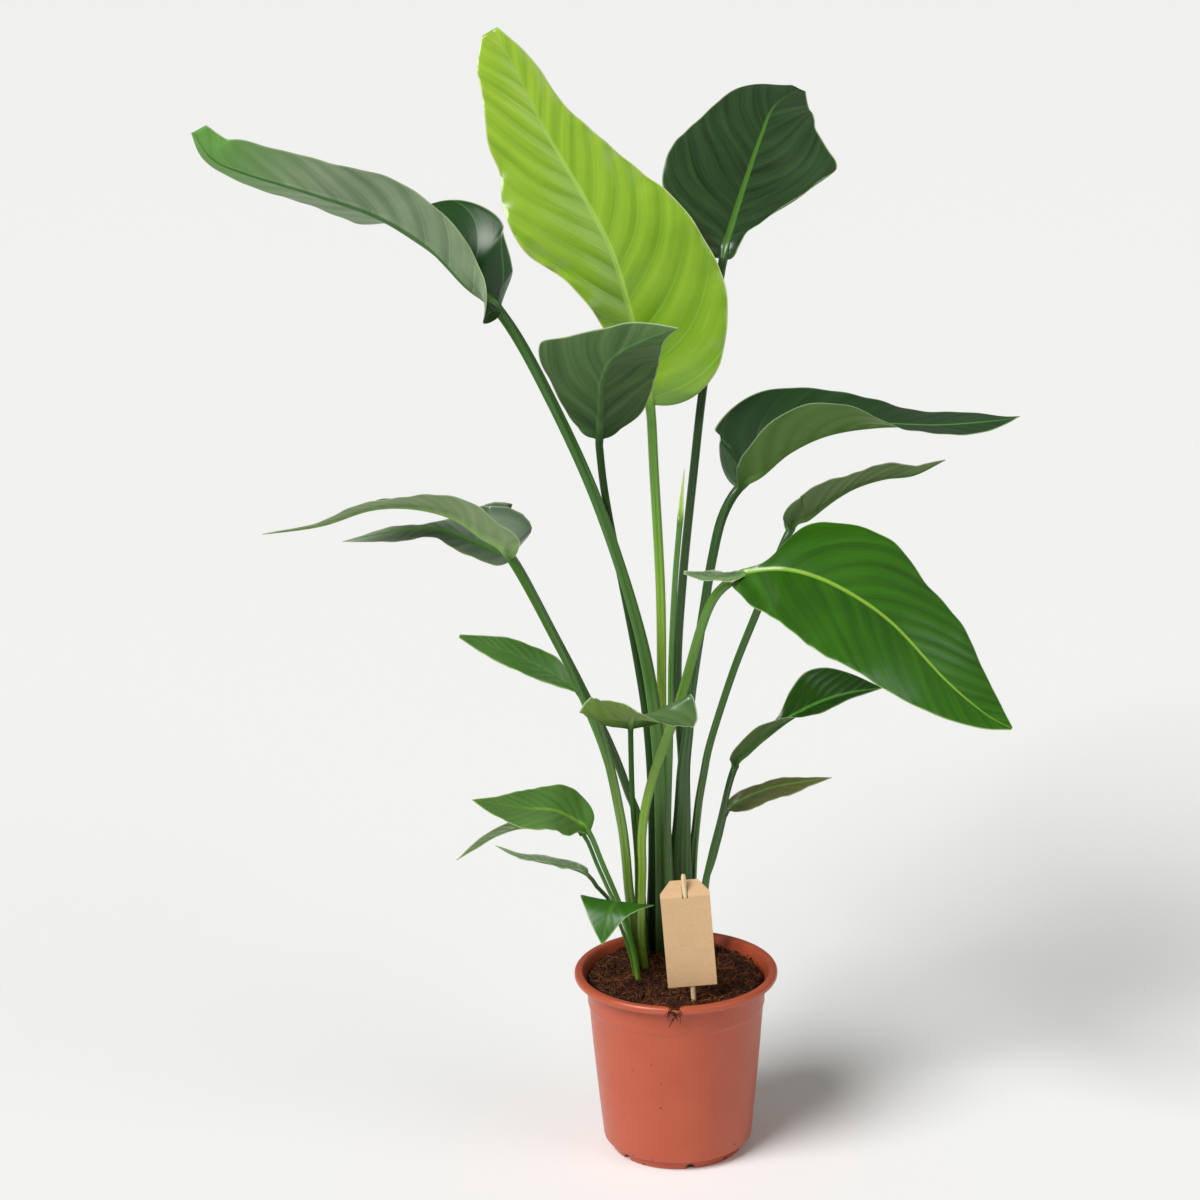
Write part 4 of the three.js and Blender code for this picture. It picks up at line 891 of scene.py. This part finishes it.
# Each leaf: points up its stalk and along its midrib; the way its upper face looks, at even steps
# from the blade's base to its tip; and for the half on either side of the midrib, at even steps
# too, the half-width, the rise from flat and the curl on the way out in degrees, and how far a
# lobe reaches back past the stalk. wave is the margin's height in millimetres, its count along
# the blade and where it starts on either side; crimp is the height of the fine one, and pleat is
# that of the flesh between side veins pleat_spacing apart. stalk_half and sheath_half are the
# half-width and half-depth of the stalk above and at its foot.
LEAVES = {
    # big leaf at the top left, its near half raised so that the pale underside shows
    "leaf_top_left": dict(
        stalk=[(-9, 47, 140), (-10, 49, 295), (-14, 53, 420), (-31, 63, 536), (-73, 77, 676),
               (-126, 85, 799), (-166, 90, 870)],
        blade=[(-202, 87, 903), (-239, 81, 941), (-285, 73, 972), (-349, 63, 997),
               (-413, 54, 1019), (-442, 49, 1034), (-458, 44, 1060)],
        faces=[(0, -0.1, 1), (0, 0, 1)],
        half_width=[[38, 26, 36, 41, 45, 42, 38, 36, 16],
                    [31, 59, 69, 56, 42, 38, 30, 20, 4]],
        rise=[[-70, 35, 58, 58, 58, 58, 58, 60, 60], [76, 75, 38, -12, -28, -30, -28, -28, -28]],
        curl=[[10, 5, 0, -5], [20, 0, 0]],
        lobe=(12, -16), wave=(3, 3, 0, 0.4), stalk_half=(6, 5), sheath_half=(12, 6),
        crimp=0.5, pleat=0.3, pleat_spacing=32, kind="dark",
        look=dict(upper="092F03", upper_light="1B540D", under="47663E", under_light="ACBE9A",
                  keel="2F6424", stalk="3A6820", stalk_low="527F2A", keel_show=0.8, quilt=0.35,
                  streaks=0.25, tip_tint=("5F9A3A", 0.8), lines=0.35, gloss=0.34),
    ),
    # the largest leaf, lime green and upright behind the others
    "leaf_top_centre": dict(
        stalk=[(-11, 70, 140), (-9, 71, 287), (-10, 75, 413), (-9, 87, 566), (-14, 97, 701),
               (-17, 103, 768)],
        blade=[(-26, 109, 818), (-50, 121, 912), (-76, 131, 968), (-118, 147, 1042),
               (-147, 161, 1103), (-169, 171, 1140)],
        faces=[(0.1, -1, 0.3), (0.1, -1, 0.3)],
        half_width=[[12, 15, 18, 25, 33, 44, 56, 70, 80, 80, 74, 61, 58, 49, 41, 34, 12],
                    [44, 80, 97, 86, 66, 46, 29, 21, 6]],
        rise=[[25, 20, 15, 15], [20, 15, 10, 10]],
        curl=[[-10, -20, -20], [-10, -20, -25]],
        lobe=(35, 40), wave=(4, 3.5, 0.3, 0.8), stalk_half=(5, 4.5), sheath_half=(6, 5),
        crimp=1.4, pleat=0.45, pleat_spacing=34, kind="lime",
        look=dict(upper="5A8E0A", upper_light="A6C83C", stalk="5E922A", stalk_low="A4C832",
                  rib_half=4.5, rib_show=0.7, rib_end=0.85, pale=-0.2, streaks=0.3,
                  tip_light=0.45, lines=0.3, swell=0.65, turn=(0.1, 0.55), gloss=0.19),
    ),
    # dark leaf leaning back at the top right, its tip folded over
    "leaf_top_right": dict(
        stalk=[(2, 75, 140), (12, 77, 351), (7, 85, 480), (14, 97, 584), (27, 113, 696),
               (39, 129, 787), (60, 145, 909)],
        blade=[(69, 170, 936), (86, 220, 974), (106, 275, 1015), (122, 315, 1040),
               (151, 355, 1053)],
        faces=[(0, -0.5, 0.85), (0, -0.5, 0.85)],
        half_width=[[20, 52, 76, 82, 78, 68, 54, 36, 10],
                    [10, 24, 82, 106, 87, 66, 50, 33, 8]],
        rise=[[20, 15, 10], [10, -8, -6, -5]],
        curl=[[-10, -10], [40, 65, 50, 10]],
        lobe=(20, 20), wave=(4, 2.5, 0.2, 0.6), stalk_half=(4.5, 4), sheath_half=(6, 5),
        crimp=0.8, pleat=0.3, pleat_spacing=27, kind="dark",
        look=dict(upper="041803", upper_light="36572A", rib="4F8228", stalk="27481A",
                  stalk_low="34571F", rib_end=0.9, quilt=0.3, pale=-0.15, streaks=0.6,
                  lines=0.15),
    ),
    # small leaf that leans forward, its underside to the viewer
    "leaf_middle": dict(
        stalk=[(-24, 61.5, 140), (-19, 64, 289), (-23, 71, 414), (-36, 85, 513), (-62, 89, 662),
               (-69, 75, 728), (-69, 71, 742)],
        blade=[(-67, 57, 776), (-65, 37, 807), (-54, 15, 835), (-28, -7, 855), (9, -29, 873)],
        faces=[(0, 1, 0.5), (0.2, 1, 0.7)],
        half_width=[[14, 42, 50, 52, 53, 48, 32, 12, 0], [20, 36, 56, 74, 46, 28, 22, 12, 0]],
        rise=[[20, 20], [20, 20]],
        curl=[[0, 0], [10, 20]],
        lobe=(10, 10), wave=(3, 2, 0.1, 0.5), stalk_half=(4, 3.5), sheath_half=(11, 5),
        crimp=0.8, pleat=0.25, pleat_spacing=27, kind="olive",
        look=dict(under="10260A", under_light="5A7A46", rib="4F7A3A", keel="44703A",
                  stalk="26451A", stalk_low="2D4F1C", keel_show=0.35, quilt=0.15, pale=-0.15,
                  streaks=0.5, tip_light=0.5, lines=0.1),
    ),
    # long leaf folded along its midrib, reaching right
    "leaf_right_upper": dict(
        stalk=[(10, 60.5, 140), (7, 59, 269), (10, 60, 343), (12, 60, 392), (17, 60, 433),
               (21, 62, 476), (36, 69, 570), (44, 75, 615), (54, 79, 656), (71, 83, 685)],
        blade=[(93, 85, 698), (123, 91, 721), (164, 99, 737), (217, 111, 741), (280, 125, 736),
               (343, 137, 737), (364, 141, 740)],
        faces=[(0, 0, 1)],
        half_width=[[46, 64, 70, 60, 46, 40, 36, 26, 0], [14, 42, 54, 50, 40, 34, 28, 18, 0]],
        rise=[[70, 40, 20, 9, 4], [60, 58, 50, 34, 6, -8, -14, -14]],
        curl=[[10, 0], [0, 0]],
        lobe=(24, 20), wave=(3, 2.5, 0, 0.5), stalk_half=(5, 4.5), sheath_half=(21, 5),
        crimp=0.7, pleat=0.3, pleat_spacing=27, kind="dark",
        look=dict(upper="0C2A0A", upper_light="2A4E24", under="3D6521", under_light="718E4D",
                  stalk="305620", stalk_low="3E6A22", tip_light=0.3),
    ),
    # narrow leaf behind, between the two right-hand ones
    "leaf_right_narrow": dict(
        stalk=[(20, 72, 140), (20, 72, 263), (26, 71, 338), (33, 70, 382), (41, 71, 419),
               (65, 76, 493), (90, 83, 555), (123, 93, 635)],
        blade=[(143, 99, 648), (169, 111, 664), (194, 123, 674), (224, 135, 679), (256, 147, 679),
               (290, 159, 691)],
        faces=[(0, 0, 1)],
        half_width=[[8, 14, 16, 16, 15, 15, 13, 8, 0], [14, 34, 33, 26, 22, 21, 18, 13, 0]],
        rise=[[30, 20, 15], [62, 55, 45]],
        curl=[[0, 0], [0, 0]],
        lobe=(5, 5), wave=(2, 2.5, 0.2, 0.7), stalk_half=(4, 3.8), sheath_half=(5.5, 5),
        crimp=0.5, pleat=0.2, pleat_spacing=17, kind="olive",
        look=dict(under="3A5625", under_light="758C57"),
    ),
    # broad bright leaf that arches forward and down to the right
    "leaf_right_front": dict(
        stalk=[(-23, 8, 140), (-33, 10, 205), (-35, 11, 238), (-33, 14, 298), (-33, 16, 332),
               (-29, 18, 364), (-20, 20, 399), (-11, 20, 424), (8, 18, 480), (36, 13, 575),
               (59, 9, 607)],
        blade=[(86, 3, 619), (123, -9, 621), (166, -27, 608), (214, -51, 579), (265, -81, 528),
               (302, -101, 499), (327, -113, 487)],
        faces=[(0.1, -0.55, 0.85), (0.4, -0.6, 0.7)],
        half_width=[[0, 0, 10, 56, 72, 77, 78, 74, 66, 64, 62, 58, 51, 43, 33, 20, 2],
                    [20, 52, 74, 82, 82, 70, 50, 30, 2]],
        rise=[[15, 8], [10, 5]],
        curl=[[-15, -15], [-10, -15]],
        lobe=(0, 10), wave=(3, 3, 0.1, 0.5), stalk_half=(5, 4.5), sheath_half=(3.2, 4),
        crimp=0.7, pleat=0.3, pleat_spacing=27, kind="green",
        look=dict(upper="123A02", upper_light="40800A", rib="8DB83A", stalk="568424",
                  stalk_low="86A82C", rib_half=3.6, rib_end=1.02, quilt=0.3, streaks=0.3,
                  lines=0.06, swell=0.3),
    ),
    # the curled tongue at the base of the front right leaf, over the end of its stalk
    "leaf_right_front_tongue": dict(
        stalk=[(81, 4, 617), (74, 3, 616)],
        blade=[(67, 2, 614), (51, -1, 613), (34, -4, 615), (20, -6, 618), (12, -7, 621)],
        faces=[(0, -0.8, 0.6)],
        half_width=[[2, 4.5, 5.5, 5, 2], [2, 5, 6.5, 6, 2.5]],
        rise=[[20], [25]],
        curl=[[35, 50], [30, 45]],
        lobe=(0, 0), wave=(1.6, 2.2, 0.2, 0.6), stalk_half=(2.4, 2), sheath_half=(2.4, 2),
        crimp=0.5, pleat=0.1, pleat_spacing=9, kind="green",
        look=dict(upper="47703A", upper_light="8FA77F", under="5A7A48", under_light="9AAE88",
                  rim="C9CFB0", rib_half=2, rib_show=0.3, lines=0),
    ),
    # short-stalked leaf low on the right
    "leaf_right_lower": dict(
        stalk=[(21, 37, 140), (29, 38, 249), (38, 41, 297), (49, 43, 341), (63, 47, 395)],
        blade=[(78, 49, 412), (97, 53, 428), (120, 61, 443), (152, 71, 457), (184, 83, 463),
               (221, 95, 464)],
        faces=[(0, -0.1, 1)],
        half_width=[[2, 2, 3, 6, 22, 34, 32, 18, 0], [8, 16, 19, 17, 17, 14, 9, 5, 0]],
        rise=[[70, 60, 50, 40, 30], [75, 65, 10, -25, -30]],
        curl=[[0, 0], [0, 0]],
        lobe=(0, 0), wave=(2, 2, 0.2, 0.6), stalk_half=(3.5, 3.2), sheath_half=(6, 4.5),
        crimp=0.5, pleat=0.2, pleat_spacing=15, kind="dark",
        look=dict(upper="0D3503", upper_light="285607", under="3C5A22", under_light="5E7A46"),
    ),
    # smallest leaf on the right
    "leaf_right_lowest": dict(
        stalk=[(28, 49, 140), (34, 55, 259), (42, 59, 290), (50, 63, 320), (57, 67, 343)],
        blade=[(77, 69, 355), (104, 71, 365), (135, 75, 369), (167, 79, 372)],
        faces=[(0, 0, 1)],
        half_width=[[4, 8, 10, 10, 10, 8, 6, 4, 0], [8, 15, 20, 20, 17, 14, 9, 5, 0]],
        rise=[[30, 20], [-15, -25]],
        curl=[[0, 0], [0, 0]],
        lobe=(0, 0), wave=(1.5, 2, 0, 0.5), stalk_half=(2.6, 2.4), sheath_half=(4, 3.5),
        crimp=0.4, pleat=0.15, pleat_spacing=13, kind="olive",
        look=dict(upper="4A5727", upper_light="727446", under="5C5F33", under_light="87825B",
                  rib_half=2.5),
    ),
    # narrow leaf arching left, seen nearly edge on
    "leaf_left_long": dict(
        stalk=[(-31, 24, 140), (-38, 23, 200), (-43, 22, 238), (-47, 20, 274), (-54, 16, 352),
               (-76, 11, 457), (-119, 5, 558), (-160, -1, 641)],
        blade=[(-186, -3, 663), (-216, -7, 685), (-255, -11, 696), (-296, -17, 696),
               (-345, -25, 682), (-402, -35, 676)],
        faces=[(0, 0, 1)],
        half_width=[[20, 24, 33, 25, 20, 16, 11, 6, 0], [22, 28, 34, 33, 30, 26, 20, 10, 0]],
        rise=[[50, 38, 32, 30], [5, 0, -10]],
        curl=[[5, 0], [-10, -10]],
        lobe=(10, 5), wave=(2, 3, 0.2, 0.7), stalk_half=(5, 4.5), sheath_half=(5, 4.5),
        crimp=0.5, pleat=0.2, pleat_spacing=15, kind="olive",
        look=dict(upper="47702F", upper_light="7E9F68", under="63814B", under_light="98AA7F",
                  keel="7FAE4A", stalk="3C661E", stalk_low="7A9E36", turn=(0.3, 0.8)),
    ),
    # dark leaf close behind that one
    "leaf_left_dark": dict(
        stalk=[(-27, 45, 140), (-34, 53, 261), (-36, 53, 336), (-46, 52, 370), (-57, 52, 404),
               (-73, 51, 444), (-117, 51, 539), (-159, 47, 626)],
        blade=[(-178, 45, 633), (-208, 41, 648), (-241, 37, 660), (-286, 29, 658),
               (-328, 21, 652)],
        faces=[(0, -0.1, 1)],
        half_width=[[12, 16, 14, 13, 12, 12, 11, 8, 0], [29, 47, 39, 17, 7, 6, 6, 5, 0]],
        rise=[[-30, -30, -25, -20], [72, 60, 30, 8, 0]],
        curl=[[0, 0], [0, 0]],
        lobe=(6, 8), wave=(3, 2.5, 0, 0.4), stalk_half=(4.5, 4), sheath_half=(4.5, 4),
        crimp=0.5, pleat=0.2, pleat_spacing=15, kind="dark",
        look=dict(upper="123A1E", upper_light="93A58C", under="6F8F6A", under_light="B5C4A8",
                  tip_tint=("A9B59E", 0.9)),
    ),
    # narrow leaf at half height on the left
    "leaf_left_narrow": dict(
        stalk=[(-34, 35, 140), (-48, 33, 258), (-55, 33, 352), (-71, 31, 421), (-86, 30, 465),
               (-96, 29, 489)],
        blade=[(-112, 29, 500), (-133, 31, 513), (-162, 34, 528), (-192, 38, 538),
               (-215, 41, 545)],
        faces=[(0, -0.3, 1)],
        half_width=[[4, 6, 10, 15, 17, 16, 12, 8, 2], [6, 10, 16, 18, 17, 15, 11, 7, 2]],
        rise=[[-15, -20], [25, 20]],
        curl=[[0, 0], [0, 0]],
        lobe=(4, 4), wave=(2, 2, 0.3, 0.8), stalk_half=(2.8, 2.6), sheath_half=(4, 3.5),
        crimp=0.4, pleat=0.2, pleat_spacing=13, kind="green",
        look=dict(upper="33651F", upper_light="668B46", under="425821", under_light="67753C",
                  rib="6F9A52", rib_show=0.12, quilt=0.15, streaks=0.2),
    ),
    # small crinkled leaf that points away from the viewer
    "leaf_centre_crinkled": dict(
        stalk=[(-25, 36, 140), (-37, 39, 222), (-38, 37, 300), (-42, 21, 372), (-43, -9, 461)],
        blade=[(-42, -35, 476), (-40, -63, 491), (-36, -89, 503)],
        faces=[(0, 0.3, 1)],
        half_width=[[46, 58, 64, 64, 61, 55, 44, 26, 0], [38, 47, 50, 50, 47, 42, 32, 18, 0]],
        rise=[[18, 18, 14, 4, -8, -17, -22, -24, -24], [-2, 2, 8, 16, 26, 38]],
        curl=[[8, 8], [20, 20, 10]],
        lobe=(4, 4), wave=(4, 2.2, 0.7, 0.1), stalk_half=(2.8, 2.6), sheath_half=(4, 3.5),
        crimp=1.2, pleat=0.3, pleat_spacing=12, kind="olive",
        look=dict(upper="315D29", upper_light="6B8550", under="4C7020", under_light="7E9549",
                  keel="6F8F45", rim="C4CCA8", spots=0.6),
    ),
    # low leaf on the left, its upper face to the viewer
    "leaf_left_low": dict(
        stalk=[(-34, 8, 140), (-42, 8, 199), (-50, 5, 241), (-60, 2, 274), (-74, -3, 313),
               (-87, -7, 349)],
        blade=[(-100, -9, 361), (-123, -17, 376), (-156, -27, 383), (-204, -41, 398)],
        faces=[(0, -0.4, 1)],
        half_width=[[6, 14, 30, 33, 34, 30, 24, 16, 0], [8, 30, 34, 29, 25, 19, 12, 6, 0]],
        rise=[[10, 5], [15, 10]],
        curl=[[-10, -10], [0, 0]],
        lobe=(8, 8), wave=(2, 2.5, 0.1, 0.6), stalk_half=(2.8, 2.5), sheath_half=(4, 3.5),
        crimp=0.5, pleat=0.25, pleat_spacing=13, kind="green",
        look=dict(upper="39691F", upper_light="7A9F58", rib_show=0.5, rib_end=0.62, quilt=0.15,
                  streaks=0.2, swell=0.3),
    ),
    # thin leaf behind that one
    "leaf_left_thin": dict(
        stalk=[(-38, 17, 140), (-44, 17, 201), (-52, 14, 238), (-65, 14, 269), (-79, 21, 301),
               (-93, 29, 333)],
        blade=[(-112, 33, 341), (-143, 39, 342), (-185, 47, 326), (-226, 55, 297)],
        faces=[(0, -0.3, 1)],
        half_width=[[8, 10, 11, 11, 10, 9, 7, 4, 0], [8, 11, 12, 12, 10, 9, 7, 4, 0]],
        rise=[[20, 20], [20, 20]],
        curl=[[0, 0], [0, 0]],
        lobe=(2, 2), wave=(1.5, 2, 0.1, 0.5), stalk_half=(2.2, 2), sheath_half=(3.5, 3),
        crimp=0.3, pleat=0.1, pleat_spacing=10, kind="green",
        look=dict(upper="3E5230", upper_light="76875F", under="3E5230", under_light="76875F",
                  rib_half=2, rib_show=0.1, keel_show=0.2),
    ),
    # thin curled leaf below it
    "leaf_left_curled": dict(
        stalk=[(-36, 0, 140), (-44, -1, 199), (-55, -5, 240), (-68, -11, 276), (-79, -17, 292),
               (-89, -21, 308)],
        blade=[(-107, -25, 318), (-137, -33, 328), (-162, -39, 337), (-181, -45, 350)],
        faces=[(0, -0.3, 1)],
        half_width=[[3, 4, 5, 5, 5, 4, 3, 2, 0], [3, 4, 5, 5, 5, 4, 3, 2, 0]],
        rise=[[20, 20], [40, 40]],
        curl=[[0, 0], [30, 30]],
        lobe=(2, 2), wave=(2, 2.5, 0, 0.5), stalk_half=(2, 1.8), sheath_half=(3.5, 3),
        crimp=0.3, pleat=0.1, pleat_spacing=10, kind="olive",
        look=dict(upper="5A7A50", upper_light="8FA388", rib_half=2),
    ),
    # small leaf that nods over the rim toward the viewer
    "leaf_front_nodding": dict(
        stalk=[(-36, -9, 140), (-41, -11, 203), (-47, -15, 236), (-52, -17, 260)],
        blade=[(-56, -23, 274), (-61, -37, 284), (-68, -55, 279), (-76, -71, 251)],
        faces=[(0.1, 1, 0.2), (0.09, 0.3, 1), (0, -0.7, 0.7), (0, -1, 0.3)],
        half_width=[[12, 24, 35, 31, 24, 17, 11, 6, 0], [12, 22, 33, 36, 33, 25, 17, 9, 0]],
        rise=[[0], [0]],
        curl=[[0], [0]],
        lobe=(0, 0), wave=(2, 1.5, 0.2, 0.7), stalk_half=(2.8, 2.6), sheath_half=(4, 3.5),
        crimp=0.3, pleat=0.05, pleat_spacing=13, kind="green",
        look=dict(upper="164C03", upper_light="366E0A", rib_show=0.1, lines=0.05, swell=0.1,
                  gloss=0.34),
    ),
    # youngest leaf, still rolled into a spear
    "spear": dict(
        stalk=[(-1, 34, 140), (-6, 39, 299), (-2, 41, 430), (0, 45, 514), (5, 51, 597),
               (11, 57, 659)],
        blade=[(13, 60, 684), (16, 63, 710)],
        faces=[(0, -1, 0.3)],
        half_width=[[0.1], [0.1]],
        rise=[[0], [0]],
        curl=[[0], [0]],
        lobe=(0, 0), wave=(0, 1, 0, 0), stalk_half=(3, 3), sheath_half=(5, 4),
        crimp=0, pleat=0, pleat_spacing=12, kind="lime",
        look=dict(upper="35601C", upper_light="5C8A38", under="35601C", under_light="5C8A38",
                  stalk="4C7C28", stalk_low="3E6A22", sheath_rim=0.9, turn=(0.45, 0.58)),
    ),
}

for name, leaf in LEAVES.items():
    look = {**LOOKS[leaf["kind"]], **USUAL, **leaf["look"]}
    material = living_leaf(f"living leaf, {name.replace('_', ' ')}", look, leaf["pleat_spacing"])
    piece = leaf_piece(f"living_{name}", leaf, material)
    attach(piece, "root")
    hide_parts(name.removesuffix("_tongue"))

# ---- Card and stick ---------------------------------------------------------------------------
# A birch stick, sharpened at neither end, pushed into the mix. A blank kraft card hangs on it:
# the top flap is folded back, and the stick goes through the slot cut across the fold.
STICK_BOTTOM = np.array([21.0, -57.3, 120.0])
STICK_TOP = np.array([6.8, -66.0, 323.5])
STICK_RADIUS = 2.5
STICK_SIDES = 32
STICK_STATIONS = 62
STICK_CHAMFER = 0.8
CARD_HALF = 25.0
CARD_THICKNESS = 0.8
CARD_BODY = 99.0
CARD_FLAP = 17.0
CARD_FLAP_ANGLE = np.radians(36)
CARD_TOP_HALF = 14.0
CARD_CHAMFER_START = 4.0
CARD_FOLD_ALONG_STICK = 181.0
CARD_SLOT_HALF = 2.9
CARD_SLOT_ABOVE = 11.5
CARD_SLOT_BELOW = 2.0
CARD_GAP = 0.25
CARD_FOLD_ROUND = 1.2
CARD_SIDE_POINTS = 17
CARD_SLOT_POINTS = 7
CARD_BODY_ROWS, CARD_SLOT_ROWS, CARD_FLAP_ROWS = 40, 40, 12

along_stick = unit(STICK_TOP - STICK_BOTTOM)
stick_right = unit(np.array([1.0, 0, 0]) - along_stick[0] * along_stick)
stick_front = np.cross(stick_right, along_stick)


# Birch, turned to a dowel and sanded: cream with fine darker grain along it, hardly any gloss.
def sanded_birch():
    made, tree = new_material("birch dowel, sanded")
    place = add(tree, "ShaderNodeTexCoord", give="Object")
    drawn = add(tree, "ShaderNodeMapping", {"Vector": place, "Scale": (1, 1, 0.04)}, "Vector")
    grain = add(tree, "ShaderNodeTexNoise", {"Vector": drawn, "Scale": 1 / (1.1 * MM),
                                             "Detail": 4}, 0)
    shade = add(tree, "ShaderNodeMapRange", {"Value": grain, "From Min": 0.35,
                                             "From Max": 0.7}, "Result")
    colour = add(tree, "ShaderNodeMix", {"Factor": shade, "A": linear("EAD7AE"),
                                         "B": linear("C9A672")}, "Result", data_type="RGBA")
    bump = add(tree, "ShaderNodeBump", {"Height": grain, "Strength": 0.3, "Distance": 0.2 * MM},
               "Normal")
    shader = add(tree, "ShaderNodeBsdfPrincipled", {
        "Base Color": colour, "Roughness": 0.7, "Normal": bump}, "BSDF")
    add(tree, "ShaderNodeOutputMaterial", {"Surface": shader})
    return made


# Kraft board, cut and creased: light brown with short darker and paler fibres, quite matt.
def creased_kraft():
    made, tree = new_material("kraft board, die cut")
    place = add(tree, "ShaderNodeTexCoord", give="Object")
    fibre = add(tree, "ShaderNodeMapping", {"Vector": place, "Scale": (0.35, 1, 1),
                                            "Rotation": (0, 0.5, 0)}, "Vector")
    flecks = add(tree, "ShaderNodeTexNoise", {"Vector": fibre, "Scale": 1 / (0.9 * MM),
                                              "Detail": 3}, 0)
    cloud = add(tree, "ShaderNodeTexNoise", {"Vector": place, "Scale": 1 / (14 * MM),
                                             "Detail": 2}, 0)
    dark = add(tree, "ShaderNodeMapRange", {"Value": flecks, "From Min": 0.6, "From Max": 0.72,
                                            "To Max": 0.35}, "Result")
    pale = add(tree, "ShaderNodeMapRange", {"Value": flecks, "From Min": 0.42, "From Max": 0.3,
                                            "To Max": 0.35}, "Result")
    base = add(tree, "ShaderNodeMix", {"Factor": cloud, "A": linear("CDA87C"),
                                       "B": linear("D6B187")}, "Result", data_type="RGBA")
    base = add(tree, "ShaderNodeMix", {"Factor": dark, "A": base, "B": linear("A98254")},
               "Result", data_type="RGBA")
    base = add(tree, "ShaderNodeMix", {"Factor": pale, "A": base, "B": linear("ECD4B2")},
               "Result", data_type="RGBA")
    bump = add(tree, "ShaderNodeBump", {"Height": flecks, "Strength": 0.2, "Distance": 0.1 * MM},
               "Normal")
    shader = add(tree, "ShaderNodeBsdfPrincipled", {
        "Base Color": base, "Roughness": 0.85, "Normal": bump}, "BSDF")
    add(tree, "ShaderNodeOutputMaterial", {"Surface": shader})
    return made


# The stick's radius rises from 0.7 of its full size at each end, over the chamfer, as
# 0.7 + 0.3 sqrt(way in / chamfer); the first and the last station close the ends.
t = np.concatenate([[0], np.linspace(0, 1, STICK_STATIONS - 2), [1]])
length = np.linalg.norm(STICK_TOP - STICK_BOTTOM)
chamfer = np.minimum(np.minimum(t, 1 - t) * length / STICK_CHAMFER, 1)
reach = STICK_RADIUS * (0.7 + 0.3 * np.sqrt(chamfer))
reach[[0, -1]] = 0
turn = np.linspace(0, 2 * np.pi, STICK_SIDES, endpoint=False)
ring = stick_right * np.cos(turn)[:, None] + stick_front * np.sin(turn)[:, None]
line = STICK_BOTTOM + along_stick * (t * length)[:, None]
points = line[:, None] + ring * reach[:, None, None]
stick = new_piece("birch_stick", points.reshape(-1, 3),
                  grid_faces(STICK_STATIONS, STICK_SIDES, wrap=True), sanded_birch())
face_outwards(stick, 0.001)
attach(stick, "root")
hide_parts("stick")


def card_points(across, run, depth):
    """Places on the folded card: run is the way up from the fold over the crease, an arc of
    CARD_FOLD_ROUND, then back along the flap; depth is from the middle of the board."""
    arc = CARD_FOLD_ROUND * CARD_FLAP_ANGLE
    bend = np.clip(run + arc / 2, 0, arc) / CARD_FOLD_ROUND
    below = np.minimum(run + arc / 2, 0)
    above = np.maximum(run - arc / 2, 0)
    up = below + CARD_FOLD_ROUND * np.sin(bend) + above * np.cos(bend) - arc / 2
    ahead = CARD_FOLD_ROUND * (np.cos(bend) - 1) - above * np.sin(bend)
    return (across[..., None] * stick_right
            + (up - depth * np.sin(bend))[..., None] * along_stick
            + (ahead + depth * np.cos(bend))[..., None] * stick_front)


fold = (STICK_BOTTOM + along_stick * CARD_FOLD_ALONG_STICK
        + stick_front * (STICK_RADIUS + CARD_THICKNESS / 2 + CARD_GAP))
runs = np.concatenate([np.linspace(-CARD_BODY, -CARD_SLOT_BELOW, CARD_BODY_ROWS),
                       np.linspace(-CARD_SLOT_BELOW, CARD_SLOT_ABOVE, CARD_SLOT_ROWS)[1:],
                       np.linspace(CARD_SLOT_ABOVE, CARD_FLAP, CARD_FLAP_ROWS)[1:]])
slope = (CARD_HALF - CARD_TOP_HALF) / (CARD_FLAP - CARD_CHAMFER_START)
half = CARD_HALF - slope * np.maximum(runs - CARD_CHAMFER_START, 0)
share = np.linspace(0, 1, CARD_SIDE_POINTS)
left_edge = -half[:, None] + (half - CARD_SLOT_HALF)[:, None] * share
middle = (CARD_SLOT_HALF * (2 * np.linspace(0, 1, CARD_SLOT_POINTS)[1:-1] - 1)
          + 0 * half[:, None])
across = np.concatenate([left_edge, middle, -left_edge[:, ::-1]], 1)
run = np.broadcast_to(runs[:, None], across.shape)
front = fold + card_points(across, run, CARD_THICKNESS / 2)
back = fold + card_points(across, run, -CARD_THICKNESS / 2)
rows, columns = across.shape
quads = grid_faces(rows, columns)

# The quads inside the slot are left out, and walls join the two faces round every open edge.
row = np.arange(rows - 1).repeat(columns - 1)
column = np.tile(np.arange(columns - 1), rows - 1)
quads = quads[(row < CARD_BODY_ROWS - 1) | (row >= CARD_BODY_ROWS + CARD_SLOT_ROWS - 2)
              | (column < CARD_SIDE_POINTS - 1) | (column >= columns - CARD_SIDE_POINTS)]
points = np.vstack([front.reshape(-1, 3), back.reshape(-1, 3)])
sides = np.vstack([quads[:, [0, 1]], quads[:, [1, 2]], quads[:, [2, 3]], quads[:, [3, 0]]])
key = np.sort(sides, 1)
_, first, uses = np.unique(key, axis=0, return_index=True, return_counts=True)
rim = sides[first[uses == 1]]
walls = np.stack([rim[:, 1], rim[:, 0], rim[:, 0] + rows * columns,
                  rim[:, 1] + rows * columns], 1)
faces = np.vstack([quads, quads[:, ::-1] + rows * columns, walls])
used, kept = np.unique(faces, return_inverse=True)
card = new_piece("kraft_card", points[used], kept.reshape(faces.shape), creased_kraft(),
                 smooth=False)
face_outwards(card)
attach(card, "root")
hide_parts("card")
